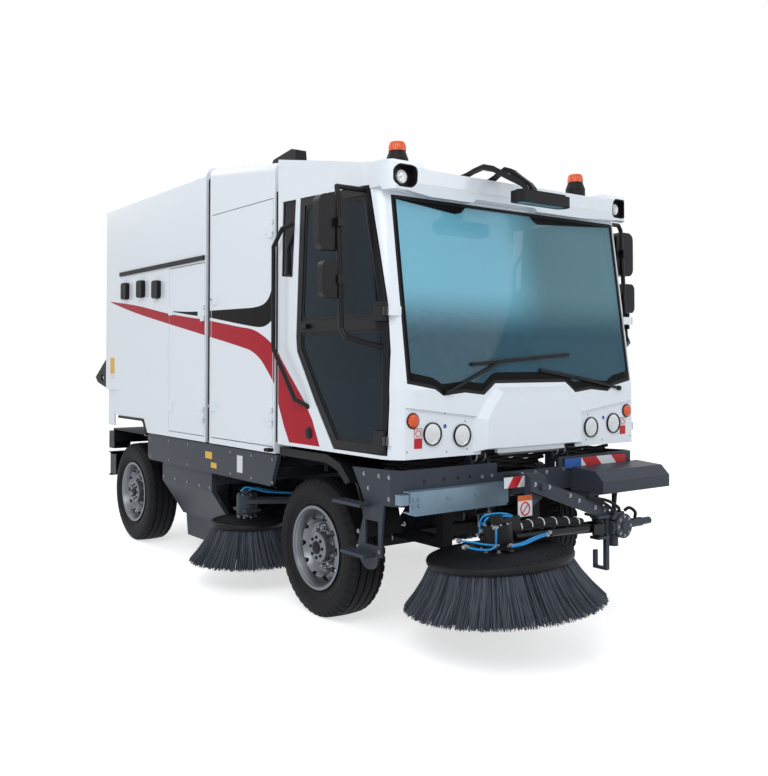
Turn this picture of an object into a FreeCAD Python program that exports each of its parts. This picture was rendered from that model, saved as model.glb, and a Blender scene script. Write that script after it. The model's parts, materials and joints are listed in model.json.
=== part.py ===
import FreeCAD, Part
import math
import os

# Street sweeper truck: one STEP file per node, in millimetres, +X forward, +Y to the left, +Z up.
# Working coordinates have their origin on the ground under the front axle; each shape is moved
# back by MID_X as it is written, so that the stored origin is the middle of the box's underside.

os.makedirs("parts", exist_ok=True)
V = FreeCAD.Vector

# ---------------------------------------------------------------- driving dimensions
WHEELBASE = 2933.0
TYRE_R, TYRE_W = 433.0, 265.0
RIM_R = 262.0              # rim flange
BEAD_R = 248.0             # where the tyre sits on the rim

HALF = 1075.0              # half width over the panels
BEYOND = HALF + 225.0      # how far sideways cutting tools reach
SKIRT_Z = 995.0            # bottom of the white panels
SILL_Z = 772.0             # bottom of the grey sill
REAR_X = -3444.0           # hopper's rear face
HOPPER_X = -1389.0         # hopper's front edge
MID_BACK_X = -1321.0       # middle section, rear edge
MID_FRONT_X = -385.0       # middle section, front edge
CAB_BACK_X = -343.0        # cab's rear wall
FRONT_X = 895.0            # cab's front panel
HOPPER_TOP = 3080.0

WALL = 50.0                # cab wall and door
PANEL = 36.0               # hopper and middle-section walls and doors
GLASS_T = 6.0
SHUT = 6.0                 # gap round a door
RUN = 0.05                 # radial clearance of a running fit
PLAY = 5.0                 # gap beside an eye or a hinge knuckle

WHEEL_Y = HALF - 190.0     # middle plane of every wheel
KING_Y = WHEEL_Y - 185.0   # kingpin

RAIL_Y, RAIL_W = 430.0, 70.0      # frame rails: outer side and flange width
RAIL_Z0, RAIL_Z1 = 700.0, 900.0
RAIL_T = 10.0
CAB_Z0 = 1062.0                   # underside of the cab
BEARER_Z = 1000.0                 # underside of the hopper's bearers
ARM_PIVOT = dict(x=-560.0, y=-600.0, z=615.0)   # right side arm: vertical pin, height of the lift pin
ARM_PIN_R = 25.0
GUARD_Y0, GUARD_Y1 = HALF - 315.0, HALF - 15.0      # mudguards, inner and outer edge
GUARD_T = 14.0
REAR_GUARD_Z, FRONT_GUARD_Z = 971.0, 1026.0         # undersides of the level parts
GUARD_STAYS = (("x", "z"), (-2980.0, REAR_GUARD_Z), (-180.0, FRONT_GUARD_Z))
FRONT_ARM = dict(x=1150.0, y0=-210.0, z0=885.0, y1=380.0, z1=700.0)     # upper pin, and the post at its end

TIP_X, TIP_Z = -3380.0, 1010.0    # hopper's tipping axis
TILT_X, TILT_Z = 780.0, 1043.0    # cab's tilting axis
TILT_Y = 358.0                    # each tilt bush
PIN_R = 12.0                      # tilt pin

EYE_REACH = 300.0                 # lashing brackets behind the hopper
FRONT_REACH = 1725.0              # foremost bristle of the front brush
TIPPED = math.radians(5.4)        # lean of the front brush and its head
LEAN_EACH = math.sin(TIPPED) / math.sqrt(2)     # the same part of it to the right and to the rear
FRONT_BRUSH = dict(y=-525.0, r_disc=405.0, r_tip=577.0, z_disc=503.0, z_tip=268.0, t=60.0)
FRONT_BRUSH["x"] = (FRONT_REACH - FRONT_BRUSH["r_tip"] * math.sqrt(1 - LEAN_EACH ** 2)
                    - (FRONT_BRUSH["z_disc"] - FRONT_BRUSH["z_tip"]) * LEAN_EACH)
MID_X = (REAR_X - EYE_REACH + FRONT_REACH) / 2     # middle of the whole length


# ---------------------------------------------------------------- helpers
def box(x0, x1, y0, y1, z0, z1):
    return Part.makeBox(x1 - x0, y1 - y0, z1 - z0, V(x0, y0, z0))


def rod(p, q, r):
    p, q = V(*p), V(*q)
    return Part.makeCylinder(r, (q - p).Length, p, q - p)


def ring(p, q, r_out, r_in):
    return rod(p, q, r_out).cut(rod(p, q, r_in))


def face(pts):
    return Part.Face(Part.makePolygon([V(*p) for p in pts] + [V(*pts[0])]))


def prism_y(pts, y0, y1):
    return face([(x, y0, z) for x, z in pts]).extrude(V(0, y1 - y0, 0))


def prism_x(pts, x0, x1):
    return face([(x0, y, z) for y, z in pts]).extrude(V(x1 - x0, 0, 0))


def prism_z(pts, z0, z1):
    return face([(x, y, z0) for x, y in pts]).extrude(V(0, 0, z1 - z0))


def fuse(parts):
    first, rest = parts[0], parts[1:]
    return first.multiFuse(rest).removeSplitter() if rest else first


def group(parts):
    """Separate solids of one node."""
    return Part.Compound([solid for p in parts for solid in p.Solids])


def cut(shape, tools):
    for t in tools:
        shape = shape.cut(t)
    return shape


def mirror(shape):
    return shape.mirror(V(0, 0, 0), V(0, 1, 0))


def both(shape):
    return [shape, mirror(shape)]


def lathe(pts, y_mid=0.0):
    """Turn (radius, y) points about the Y axis."""
    f = face([(r, y + y_mid, 0) for r, y in pts])
    return f.revolve(V(0, 0, 0), V(0, 1, 0), 360)


def turn_z(pts, x, y):
    """Turn (radius, z) points about a vertical axis through x, y."""
    f = face([(x + r, y, z) for r, z in pts])
    return f.revolve(V(x, y, 0), V(0, 0, 1), 360)


def beam(p, q, w, h):
    """A rectangular bar between two points, w wide and h high."""
    p, q = V(*p), V(*q)
    d = q - p
    along = V(d).normalize()
    side = along.cross(V(0, 0, 1))
    side = side.normalize() if side.Length > 1e-6 else V(0, 1, 0)
    up = side.cross(along)
    c = [p + side * (s * w / 2) + up * (t * h / 2) for s, t in ((-1, -1), (1, -1), (1, 1), (-1, 1))]
    return Part.Face(Part.makePolygon(c + [c[0]])).extrude(d)


def pipe(pts, r):
    parts = [rod(a, b, r) for a, b in zip(pts, pts[1:])]
    parts += [Part.makeSphere(r, V(*p)) for p in pts[1:-1]]
    return fuse(parts)


def rounded(pts, r):
    """Close a polygon in the plane of its points, with every corner rounded by r (0 for sharp)."""
    n = len(pts)
    pts = [V(*p) for p in pts]
    edges, ends = [], []
    for i in range(n):
        a, b, c = pts[i - 1], pts[i], pts[(i + 1) % n]
        ri = r[i] if isinstance(r, (list, tuple)) else r
        if ri <= 0:
            ends.append((b, b))
            continue
        u, w = (a - b).normalize(), (c - b).normalize()
        half = u.getAngle(w) / 2
        s = ri / math.tan(half)
        mid = (u + w).normalize() * (ri / math.sin(half) - ri)
        p, q = b + u * s, b + w * s
        edges.append(Part.Arc(p, b + mid, q).toShape())
        ends.append((p, q))
    for i in range(n):
        p, q = ends[i - 1][1], ends[i][0]
        if (p - q).Length > 1e-6:
            edges.append(Part.makeLine(p, q))
    return Part.Face(Part.Wire(Part.__sortEdges__(edges)))


def write(name, shape):
    s = shape.copy()
    s.translate(V(-MID_X, 0, 0))
    s.exportStep("parts/%s.step" % name)


# ---------------------------------------------------------------- wheels
def tyre_shape():
    w = TYRE_W / 2
    pts = [(BEAD_R, -98), (262, -112), (300, -130), (345, -w), (390, -126), (418, -112), (430, -96),
           (TYRE_R, -60), (TYRE_R, 60), (430, 96), (418, 112), (390, 126), (345, w), (300, 130), (262, 112),
           (BEAD_R, 98), (BEAD_R, 78), (300, 112), (380, 112), (415, 90),
           (415, -90), (380, -112), (300, -112), (BEAD_R, -78)]
    return lathe(pts)


DRUM_R = 170.0
DRUM_Y0, DRUM_Y1 = WHEEL_Y - 150.0, WHEEL_Y - 68.0
SPINDLE_Y = WHEEL_Y + 92.0
HUB_BORE_R = 42.0
SPINDLE_R = HUB_BORE_R - RUN
HAND_HOLES = 10


def rim_shape():
    """Outer side towards -Y: barrel, dished disc with hand holes, hub."""
    barrel = lathe([(BEAD_R, -112), (RIM_R, -116), (RIM_R, -122), (BEAD_R - 4, -122), (BEAD_R - 14, -100),
                    (BEAD_R - 30, -60), (BEAD_R - 30, 60), (BEAD_R - 14, 100), (BEAD_R - 4, 122), (RIM_R, 122),
                    (RIM_R, 116), (BEAD_R, 112), (BEAD_R, 96), (BEAD_R - 18, 58), (BEAD_R - 18, -58),
                    (BEAD_R, -96)])
    disc = lathe([(BEAD_R - 24, -66), (BEAD_R - 24, -52), (190, -78), (165, -40), (140, -26), (HUB_BORE_R, -26),
                  (HUB_BORE_R, -40), (136, -40), (158, -56), (186, -94)])
    for k in range(HAND_HOLES):
        a = 2 * math.pi * k / HAND_HOLES
        c = V(193 * math.cos(a), 0, 193 * math.sin(a))
        hole = Part.makeCylinder(21, 200, V(c.x, -150, c.z), V(0, 1, 0))
        disc = disc.cut(hole)
    hub = lathe([(HUB_BORE_R, -40), (HUB_BORE_R, 60), (95, 60), (95, -26), (110, -26), (110, -52), (95, -52),
                 (95, -104), (84, -112), (0, -112), (0, -96), (HUB_BORE_R, -96)])
    return fuse([barrel, disc, hub])


def wheel_at(shape, x, side):
    s = shape if side < 0 else mirror(shape)
    s = s.copy()
    s.translate(V(x, side * WHEEL_Y, TYRE_R))
    return s


TYRE, RIM = tyre_shape(), rim_shape()
WHEELS = (("front_right", 0.0, -1), ("front_left", 0.0, 1),
          ("rear_right", -WHEELBASE, -1), ("rear_left", -WHEELBASE, 1))
for name, x, side in WHEELS:
    write("tyre_" + name, wheel_at(TYRE, x, side))
    write("rim_" + name, wheel_at(RIM, x, side))


# ---------------------------------------------------------------- steering knuckles
KING_R = 24.0
EYE_H = 60.0               # half height of the axle's kingpin eye


def knuckle():
    y0 = -KING_Y
    pin = rod((0, y0, TYRE_R - EYE_H - 40), (0, y0, TYRE_R + EYE_H + 40), KING_R - RUN)
    ears = [box(-45, 45, y0 - 60, y0 + 45, TYRE_R + EYE_H + SHUT, TYRE_R + EYE_H + 40),
            box(-45, 45, y0 - 60, y0 + 45, TYRE_R - EYE_H - 40, TYRE_R - EYE_H - SHUT)]
    web = box(-45, 45, y0 - 95, y0 - 60, TYRE_R - EYE_H - 40, TYRE_R + EYE_H + 40)
    drum = rod((0, y0 - 95, TYRE_R), (0, -DRUM_Y1, TYRE_R), DRUM_R)
    spindle = rod((0, -DRUM_Y1, TYRE_R), (0, -SPINDLE_Y, TYRE_R), SPINDLE_R)
    lever = beam((0, y0 - 20, TYRE_R - 85), (-150, y0 + 35, TYRE_R - 85), 40, 30)
    return fuse([pin] + ears + [web, drum, spindle, lever])


KNUCKLE = knuckle()
write("knuckle_right", KNUCKLE)
write("knuckle_left", mirror(KNUCKLE))


# ---------------------------------------------------------------- frame, axles, front beam
CROSS_X = (420.0, -460.0, -1300.0, -2350.0, -3300.0)
FRAME_FRONT, FRAME_BACK = 840.0, -3440.0
PLATE_X0, PLATE_X1 = FRAME_FRONT, FRAME_FRONT + 26.0     # front cross plate
PLATE_Z0, PLATE_Z1 = 800.0, 1002.0
PLATE_Y = HALF - 35.0
SPRING_W = 80.0


def channel(side):
    """A rail with its web outside and its flanges towards the middle."""
    y_in = RAIL_Y - RAIL_W
    s = box(FRAME_BACK, FRAME_FRONT, y_in, RAIL_Y, RAIL_Z0, RAIL_Z1)
    s = s.cut(box(FRAME_BACK, FRAME_FRONT, y_in, RAIL_Y - RAIL_T, RAIL_Z0 + RAIL_T, RAIL_Z1 - RAIL_T))
    return s if side > 0 else mirror(s)


write("rails", group([channel(1), channel(-1)]))


def pivot_ear(side):
    """Ear on the rail's end for the hopper's tipping pin."""
    y = side * (RAIL_Y - 20)
    ear = prism_y([(TIP_X - 60, RAIL_Z1), (TIP_X + 90, RAIL_Z1), (TIP_X + 30, TIP_Z + 30),
                   (TIP_X - 30, TIP_Z + 30)], y - 20, y + 20)
    return ear.cut(rod((TIP_X, y - 40, TIP_Z), (TIP_X, y + 40, TIP_Z), TIP_PIN_R))


TIP_PIN_R = 25.0
SILL_T = 30.0
SILL_Y = HALF - 8.0 - SILL_T       # the sill's inner face
OUTRIGGER_X = (-2400.0, -1330.0, -500.0)


def frame_members():
    """Cross members between the rails, and what is bolted on the rails."""
    inner = RAIL_Y - RAIL_T
    parts = [box(x - 40, x + 40, -inner, inner, RAIL_Z0 + 30, RAIL_Z1 - 30) for x in CROSS_X]
    for x in OUTRIGGER_X:
        parts += both(box(x - 25, x + 25, -SILL_Y, -RAIL_Y, 820, 880))
    parts += both(box(-300, -240, -RAIL_Y, -RAIL_Y + 60, RAIL_Z1, CAB_Z0))           # cab rests
    for x in (-2300.0, -1480.0):                                                      # hopper rests
        parts += both(box(x - 40, x + 40, -RAIL_Y, -RAIL_Y + 60, RAIL_Z1, BEARER_Z - SHUT))
    px, py = ARM_PIVOT["x"], ARM_PIVOT["y"]
    parts += both(fuse([box(px - 45, px + 45, py - 45, -RAIL_Y, RAIL_Z0, RAIL_Z0 + 30),
                        rod((px, py, 535), (px, py, RAIL_Z0 + 5), ARM_PIN_R - RUN),
                        rod((px, py, 535), (px, py, 552), 42)]))
    parts += [pivot_ear(-1), pivot_ear(1)]
    for x, z1 in GUARD_STAYS[1:]:
        parts += both(box(x - 20, x + 20, -GUARD_Y0 - 40, -RAIL_Y, RAIL_Z1 - 20, z1))
    return group(parts)


write("frame_members", frame_members())


def springs_of(ax):
    """Leaf springs of one axle, up to the rails' undersides."""
    out = []
    for side in (-1, 1):
        y = side * (RAIL_Y - RAIL_W / 2)
        y0, y1 = y - SPRING_W / 2, y + SPRING_W / 2
        out.append(box(ax - 560, ax + 560, y0, y1, TYRE_R + 30, TYRE_R + 80))
        for dx in (-530, 530):
            out.append(box(ax + dx - 30, ax + dx + 30, y0, y1, TYRE_R + 60, RAIL_Z0))
    return out


def front_axle():
    beam_y = KING_Y - 40
    parts = [box(-45, 45, -beam_y, beam_y, TYRE_R - 45, TYRE_R + 30)] + springs_of(0.0)
    for side in (-1, 1):
        eye = rod((0, side * KING_Y, TYRE_R - EYE_H), (0, side * KING_Y, TYRE_R + EYE_H), 45)
        parts.append(eye)
    s = fuse(parts)
    return cut(s, [rod((0, side * KING_Y, 0), (0, side * KING_Y, 900), KING_R) for side in (-1, 1)])


def rear_axle():
    """Tube, differential, drums and spindles."""
    rx = -WHEELBASE
    parts = [rod((rx, -DRUM_Y0, TYRE_R), (rx, DRUM_Y0, TYRE_R), 62), Part.makeSphere(190, V(rx, 0, TYRE_R)),
             box(rx - 45, rx + 45, -(RAIL_Y + 5), RAIL_Y + 5, TYRE_R, TYRE_R + 32)] + springs_of(rx)
    for side in (-1, 1):
        parts.append(rod((rx, side * DRUM_Y0, TYRE_R), (rx, side * DRUM_Y1, TYRE_R), DRUM_R))
        parts.append(rod((rx, side * DRUM_Y1, TYRE_R), (rx, side * SPINDLE_Y, TYRE_R), SPINDLE_R))
    return fuse(parts)


write("axles", group([front_axle(), rear_axle()]))

STEP_Y0, STEP_Y1 = PLATE_Y, HALF + 50.0
STEPS = (("x0", "x1", "z"), (355.0, 628.0, 793.0), (440.0, 665.0, 512.0))


def front_frame():
    """Cross plate at the rails' front ends, its side plates, the cab's tilt towers and the entry steps."""
    plate = box(PLATE_X0, PLATE_X1, -PLATE_Y + 40, PLATE_Y - 40, PLATE_Z0, PLATE_Z1)
    low = TILT_Y - 83
    plate = plate.cut(box(PLATE_X0 - 1, PLATE_X1 + 1, -low, low, PLATE_Z1 - 62, PLATE_Z1 + 1))
    parts = [plate]
    corner = prism_z([(PLATE_X0 - 40, -PLATE_Y), (PLATE_X1, -PLATE_Y + 40), (PLATE_X1 - 26, -PLATE_Y + 40),
                      (PLATE_X0 - 46, -PLATE_Y + 14), (PLATE_X0 - 46, -PLATE_Y)], PLATE_Z0, PLATE_Z1)
    back = PLATE_X0 - 40
    side = prism_y([(443, 989), (back, PLATE_Z1), (back, PLATE_Z0), (560, PLATE_Z0), (530, 860)],
                   -PLATE_Y, -PLATE_Y + 14)
    leg = prism_y([(480, 500), (720, 500), (720, 620), (745, PLATE_Z0 + 20), (560, PLATE_Z0 + 20), (545, 700)],
                  -PLATE_Y, -PLATE_Y + 14)
    leg = leg.cut(box(570, 690, -BEYOND, -PLATE_Y + 20, 560, 700))
    foot = rod((600, -PLATE_Y, 505), (600, -PLATE_Y + 14, 505), 88).common(box(400, 800, -BEYOND, 0, 300, 505))
    parts += both(corner) + both(side) + both(leg) + both(foot)
    for x0, x1, z in STEPS[1:]:
        tread = box(x0, x1, -STEP_Y1, -STEP_Y0, z - 14, z + 4)
        holes = [rod((x0 + dx, -STEP_Y1 + dy, z - 20), (x0 + dx, -STEP_Y1 + dy, z + 10), 9)
                 for dx in range(30, int(x1 - x0) - 20, 34) for dy in (24, 60)]
        parts += both(cut(tread, holes))
    for y in (-TILT_Y, TILT_Y):
        tower = prism_y([(TILT_X - 32, RAIL_Z1), (TILT_X + 32, RAIL_Z1), (TILT_X + 32, TILT_Z - 36),
                         (TILT_X + PIN_R, TILT_Z), (TILT_X - PIN_R, TILT_Z), (TILT_X - 32, TILT_Z - 36)],
                        y - 80, y - 55)
        parts += [tower, tower.translated(V(0, 135, 0))]
        parts.append(box(TILT_X - 32, PLATE_X0, y - 80, y + 80, RAIL_Z1, RAIL_Z1 + 24))
        parts.append(rod((TILT_X, y - 80, TILT_Z), (TILT_X, y + 80, TILT_Z), PIN_R - RUN))
    return fuse(parts)


write("front_frame", front_frame())

BUMPER_Y = HALF - 75.0
BUMPER = dict(x0=-WHEELBASE - 616.0, x1=-WHEELBASE - 566.0, z0=520.0, z1=745.0)


def rear_bumper():
    """Channel open backwards, with end plates and two arms to the rails."""
    b = BUMPER
    bar = box(b["x0"], b["x1"], -BUMPER_Y, BUMPER_Y, b["z0"], b["z1"])
    bar = bar.cut(box(b["x0"] - 1, b["x1"] - 12, -BUMPER_Y - 1, BUMPER_Y + 1, b["z0"] + 12, b["z1"] - 12))
    ends = both(box(b["x1"], b["x1"] + 130, -BUMPER_Y, -BUMPER_Y + 8, b["z0"] + 20, b["z1"] - 20))
    arms = both(box(b["x1"], FRAME_BACK + 140, -RAIL_Y - 40, -RAIL_Y, RAIL_Z0 + 5, b["z1"]))
    xc = b["x1"] + 59
    corner = both(prism_y([(xc, 790), (xc, 950), (xc + 148, 950), (xc + 120, 790)], -HALF + 35, -HALF + 195))
    stay = both(box(xc + 40, xc + 100, -HALF + 190, -RAIL_Y, 840, 890))
    return group([fuse([bar] + ends + arms)] + [fuse([c, t]) for c, t in zip(corner, stay)])


write("rear_bumper", rear_bumper())

BEAM_X0, BEAM_X1 = PLATE_X1, PLATE_X1 + 60.0
BEAM_Z0, BEAM_Z1 = 770.0, 890.0


def front_beam():
    """Galvanised channel across the front cross plate's right half, open forwards at its ends."""
    s = box(BEAM_X0, BEAM_X1, -PLATE_Y + 40, -240, BEAM_Z0, BEAM_Z1)
    s = s.cut(box(BEAM_X0 - 1, BEAM_X1 - 8, -BEYOND, -239, BEAM_Z0 + 8, BEAM_Z1 - 8))
    tongue = box(BEAM_X0, BEAM_X1 - 8, -PLATE_Y - 18, -PLATE_Y + 60, BEAM_Z0 + 50, BEAM_Z1 - 14)
    shelf = box(BEAM_X0, BEAM_X1 + 8, -PLATE_Y + 70, -260, BEAM_Z0 - 12, BEAM_Z0)
    return fuse([s, tongue, shelf])


write("front_beam", front_beam())

ENGINE = box(-1230, -470, -380, 380, RAIL_Z1, 1650)
write("engine_block", ENGINE)


# ---------------------------------------------------------------- cab
CORNER_R = 145.0
WAIST_Z = 1450.0
LEAN = 0.1355              # the screen's backward lean
ROOF = ((CAB_BACK_X, 2945.0), (285.0, 2822.0), (673.0, 2741.0), (960.0, 2681.0))


def cab_form(inset):
    """The closed outer form of the cab, moved inwards by inset."""
    h, f = HALF - inset, FRONT_X - inset
    r = max(CORNER_R - inset, 20.0)
    plan = [(CAB_BACK_X - 200, -h), (f, -h), (f, h), (CAB_BACK_X - 200, h)]

    def plan_at(z):
        return rounded([(x, y, z) for x, y in plan], [0, r, r, 0])

    low = plan_at(CAB_Z0 + inset).extrude(V(0, 0, WAIST_Z - CAB_Z0 - inset))
    rise = 1600.0
    high = plan_at(WAIST_Z).extrude(V(-LEAN * rise, 0, rise))
    form = low.fuse(high)
    back = CAB_BACK_X + inset
    side = [(back, CAB_Z0 + inset), (FRONT_X + 100, CAB_Z0 + inset), (FRONT_X + 100, ROOF[3][1] - inset)]
    side += [(ROOF[2][0], ROOF[2][1] - inset), (ROOF[1][0], ROOF[1][1] - inset), (back, ROOF[0][1] - inset)]
    return form.common(prism_y(side, -BEYOND, BEYOND))


VISOR = ((590.0, 2600.0), (590.0, 2765.0), (673.0, 2745.0), (806.0, 2747.0), (838.0, 2712.0),
         (830.0, 2625.0), (802.0, 2530.0), (775.0, 2530.0), (745.0, 2600.0))
VISOR_EDGE = ((-931.0, 2579.0), (-500.0, 2535.0), (-440.0, 2535.0), (-394.0, 2581.0), (112.0, 2581.0),
              (200.0, 2538.0), (931.0, 2579.0))            # lower edge of the visor, along y
POD = dict(x=800.0, y=HALF - 128.0, z=2658.0, w=160.0, h=130.0, r=48.0)
DOOR = ((-75.0, 2648.0), (644.0, 2620.0), (722.0, 2238.0), (778.0, 1946.0), (810.0, 1664.0), (817.0, 1386.0),
        (805.0, 1082.0), (296.0, 1082.0), (89.0, 1365.0), (-111.0, 1668.0), (-122.0, 1760.0))
PANE_UP = ((-20.0, 2590.0), (606.0, 2566.0), (676.0, 2238.0), (735.0, 1946.0), (748.0, 1862.0),
           (-62.0, 1862.0))
PANE_LOW = ((-62.0, 1790.0), (756.0, 1790.0), (768.0, 1664.0), (772.0, 1386.0), (758.0, 1140.0),
            (330.0, 1140.0), (140.0, 1395.0), (-58.0, 1690.0))
QUARTER = ((-285.0, 2655.0), (-125.0, 2648.0), (-165.0, 2150.0), (-300.0, 2165.0))
REAR_PANE = ((-620.0, 2480.0), (620.0, 2480.0), (620.0, 1900.0), (-620.0, 1900.0))
SCREEN_Y = HALF - 90.0
SCREEN_TOP = 2560.0
# upper edge of the white front panel from the middle outwards: the nose, then a dip for the wipers
PANEL_EDGE = ((310.0, 1478.0), (404.0, 1411.0), (560.0, 1428.0), (730.0, 1413.0), (790.0, 1450.0),
              (SCREEN_Y, 1484.0))
SCREEN = tuple([(-y, z) for y, z in reversed(PANEL_EDGE)] + list(PANEL_EDGE)
               + [(SCREEN_Y, SCREEN_TOP), (-SCREEN_Y, SCREEN_TOP)])
SIDE_IN = HALF - 85.0      # how far in the side openings' tools reach


def outline(pts, d):
    """A side outline as a face, moved outwards by d."""
    f = Part.Face(Part.makePolygon([V(x, z, 0) for x, z in pts] + [V(pts[0][0], pts[0][1], 0)]))
    return f.makeOffset2D(d, 2) if d else f


def side_tool(pts, d=0.0):
    """The right side's opening with this outline."""
    f = outline(pts, d)
    f.rotate(V(0, 0, 0), V(1, 0, 0), 90)
    f.translate(V(0, -BEYOND, 0))
    return f.extrude(V(0, BEYOND - SIDE_IN, 0))


OUTER, INNER = cab_form(0.0), cab_form(WALL)
GLASS_BAND = cab_form(10.0).cut(cab_form(10.0 + GLASS_T))
PANEL_X = FRONT_X - WALL - 10.0                           # where the front panel meets the sides
FLOOR_Z = CAB_Z0 + WALL


def pod_tool(grow, x0, x1):
    """Rounded square recess of the right corner lamp."""
    p = POD
    w, h = p["w"] / 2 - grow, p["h"] / 2 - grow
    y, z = -p["y"], p["z"]
    f = rounded([(x0, y - w, z - h), (x0, y + w, z - h), (x0, y + w, z + h), (x0, y - w, z + h)],
                max(p["r"] - grow, 5.0))
    return f.extrude(V(x1 - x0, 0, 0))


def visor():
    """Roof fascia over the screen, with the recesses of the corner lamps."""
    s = prism_y(list(VISOR), -HALF, HALF)
    s = s.cut(prism_y([(672, 2745), (846, 2703), (846, 2800), (672, 2800)], -HALF + 270, HALF - 270))
    y = HALF - 5
    plan = rounded([(300, -y, 2500), (842, -y, 2500), (842, y, 2500), (300, y, 2500)], [0, 130, 130, 0])
    plan = plan.extrude(V(0, 0, 400))
    under = prism_x([(-BEYOND, 2400), (BEYOND, 2400), (BEYOND, VISOR_EDGE[-1][1])]
                    + list(reversed(VISOR_EDGE)) + [(-BEYOND, VISOR_EDGE[0][1])], 500, 900)
    s = s.common(plan).cut(INNER).cut(under)
    recess = pod_tool(0.0, POD["x"] - 30, 900)
    return s, [recess, mirror(recess)]


def cab_shell():
    """Sides, rear wall, roof and visor in one."""
    fascia, recesses = visor()
    shell = OUTER.cut(INNER).cut(box(PANEL_X, 1100, -BEYOND, BEYOND, CAB_Z0 - 10, WAIST_Z + 60))
    shell = shell.cut(box(CAB_BACK_X - 10, 1100, -BEYOND, BEYOND, CAB_Z0 - 10, FLOOR_Z).common(INNER_PLAN))
    shell = shell.fuse(fascia)
    tools = [side_tool(DOOR), side_tool(QUARTER)]
    tools += [mirror(t) for t in tools]
    tools += [prism_x(list(SCREEN), 560, 1100), prism_x(list(REAR_PANE), CAB_BACK_X - 50, CAB_BACK_X + 90)]
    shell = cut(shell, tools + recesses)
    for h in CAB_HINGES[1:]:
        k = cab_knuckle(h)
        shell = shell.fuse(k).fuse(mirror(k))
    return shell.removeSplitter()


INNER_PLAN = cab_form(WALL).common(box(-500, PANEL_X, -BEYOND, BEYOND, CAB_Z0, FLOOR_Z + 200))
INNER_PLAN = min(INNER_PLAN.Faces, key=lambda face_: face_.CenterOfMass.z)
INNER_PLAN = INNER_PLAN.extrude(V(0, 0, -200))
# cab door hinges: height, how far in the door's strap lies
CAB_HINGE_X, CAB_HINGE_Y = 796.0, HALF + 5.0
CAB_HINGES = (("z", "strap_y"), (1890.0, HALF - 25.0), (1165.0, HALF - 5.0))
KNUCKLE_R, DOOR_PIN_R = 10.0, 6.0


def cab_knuckle(h):
    z = h[0]
    web = box(CAB_HINGE_X, CAB_HINGE_X + 34, -CAB_HINGE_Y, -HALF + 90, z - 25, z + 25)
    barrel = rod((CAB_HINGE_X, -CAB_HINGE_Y, z - 25), (CAB_HINGE_X, -CAB_HINGE_Y, z + 25), KNUCKLE_R)
    return web.fuse(barrel).cut(rod((CAB_HINGE_X, -CAB_HINGE_Y, z - 30), (CAB_HINGE_X, -CAB_HINGE_Y, z + 30),
                                    DOOR_PIN_R)).cut(INNER)


def cab_strap(h):
    z, y_in = h
    out = [box(700, CAB_HINGE_X - KNUCKLE_R - 4, -CAB_HINGE_Y - 6, -y_in, z - 55, z + 55)]
    for z0, z1 in ((z - 55, z - 25 - PLAY), (z + 25 + PLAY, z + 55)):
        out.append(box(CAB_HINGE_X - KNUCKLE_R - 6, CAB_HINGE_X, -CAB_HINGE_Y - 6, -CAB_HINGE_Y + 8, z0, z1))
        out.append(rod((CAB_HINGE_X, -CAB_HINGE_Y, z0), (CAB_HINGE_X, -CAB_HINGE_Y, z1), KNUCKLE_R))
    out.append(rod((CAB_HINGE_X, -CAB_HINGE_Y, z - 55), (CAB_HINGE_X, -CAB_HINGE_Y, z + 55), DOOR_PIN_R - RUN))
    return out


SHELL = cab_shell()
write("cab_shell", SHELL)


def cab_floor():
    """Floor pan with the lugs on the tilt pins."""
    f = INNER_PLAN.common(box(-500, PANEL_X, -BEYOND, BEYOND, CAB_Z0, FLOOR_Z))
    for y in (-TILT_Y, TILT_Y):
        f = f.cut(box(TILT_X - 70, PANEL_X + 1, y - 95, y + 95, CAB_Z0 - 1, CAB_Z0 + 22))
        lug = prism_y([(TILT_X - 40, CAB_Z0 + 30), (TILT_X + 40, CAB_Z0 + 30), (TILT_X + 34, TILT_Z),
                       (TILT_X - 34, TILT_Z)], y - 45, y + 45)
        eye = rod((TILT_X, y - 48, TILT_Z), (TILT_X, y + 48, TILT_Z), 34)
        f = f.fuse(lug).fuse(eye).cut(rod((TILT_X, y - 100, TILT_Z), (TILT_X, y + 100, TILT_Z), PIN_R))
    return f


write("cab_floor", cab_floor())
NOSE_BASE = ((-495.0, CAB_Z0 + 14), (495.0, CAB_Z0 + 14), (495.0, 1290.0), (420.0, 1392.0), (318.0, 1474.0),
             (-318.0, 1474.0), (-420.0, 1392.0), (-495.0, 1290.0))
NOSE_FRONT = ((-415.0, 1098.0), (415.0, 1098.0), (415.0, 1262.0), (360.0, 1344.0), (285.0, 1424.0),
              (-285.0, 1424.0), (-360.0, 1344.0), (-415.0, 1262.0))
NOSE_X = FRONT_X + 40.0
LAMP_SET = 18.0            # how far the lamp panels are set back


def cab_front():
    """White panel under the screen: nose in the middle, lamp panels set back under a brow."""
    s = OUTER.cut(INNER).common(box(PANEL_X, 1100, -BEYOND, BEYOND, CAB_Z0 - 10, WAIST_Z + 60))
    s = s.cut(prism_x(list(SCREEN), 560, 1100))
    brow = prism_x([(-BEYOND, CAB_Z0 - 5), (-300, CAB_Z0 - 5), (-300, 1262), (-430, 1282), (-BEYOND, 1390)],
                   FRONT_X - LAMP_SET, 1100)
    s = s.cut(brow).cut(mirror(brow))
    wires = [Part.makePolygon([V(x, y, z) for y, z in pts + (pts[0],)])
             for x, pts in ((FRONT_X - 24, NOSE_BASE), (NOSE_X, NOSE_FRONT))]
    lip = box(PANEL_X, FRONT_X - 27, -TILT_Y + 96, TILT_Y - 96, CAB_Z0 - 16, CAB_Z0 + 30)
    s = fuse([s, Part.makeLoft(wires, True, True), lip])
    # the tilt bushes show through a notch under each lamp panel
    notch = box(PANEL_X - 1, 1100, -TILT_Y - 62, -TILT_Y + 62, CAB_Z0 - 20, CAB_Z0 + 26)
    return s.cut(notch).cut(mirror(notch))


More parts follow.
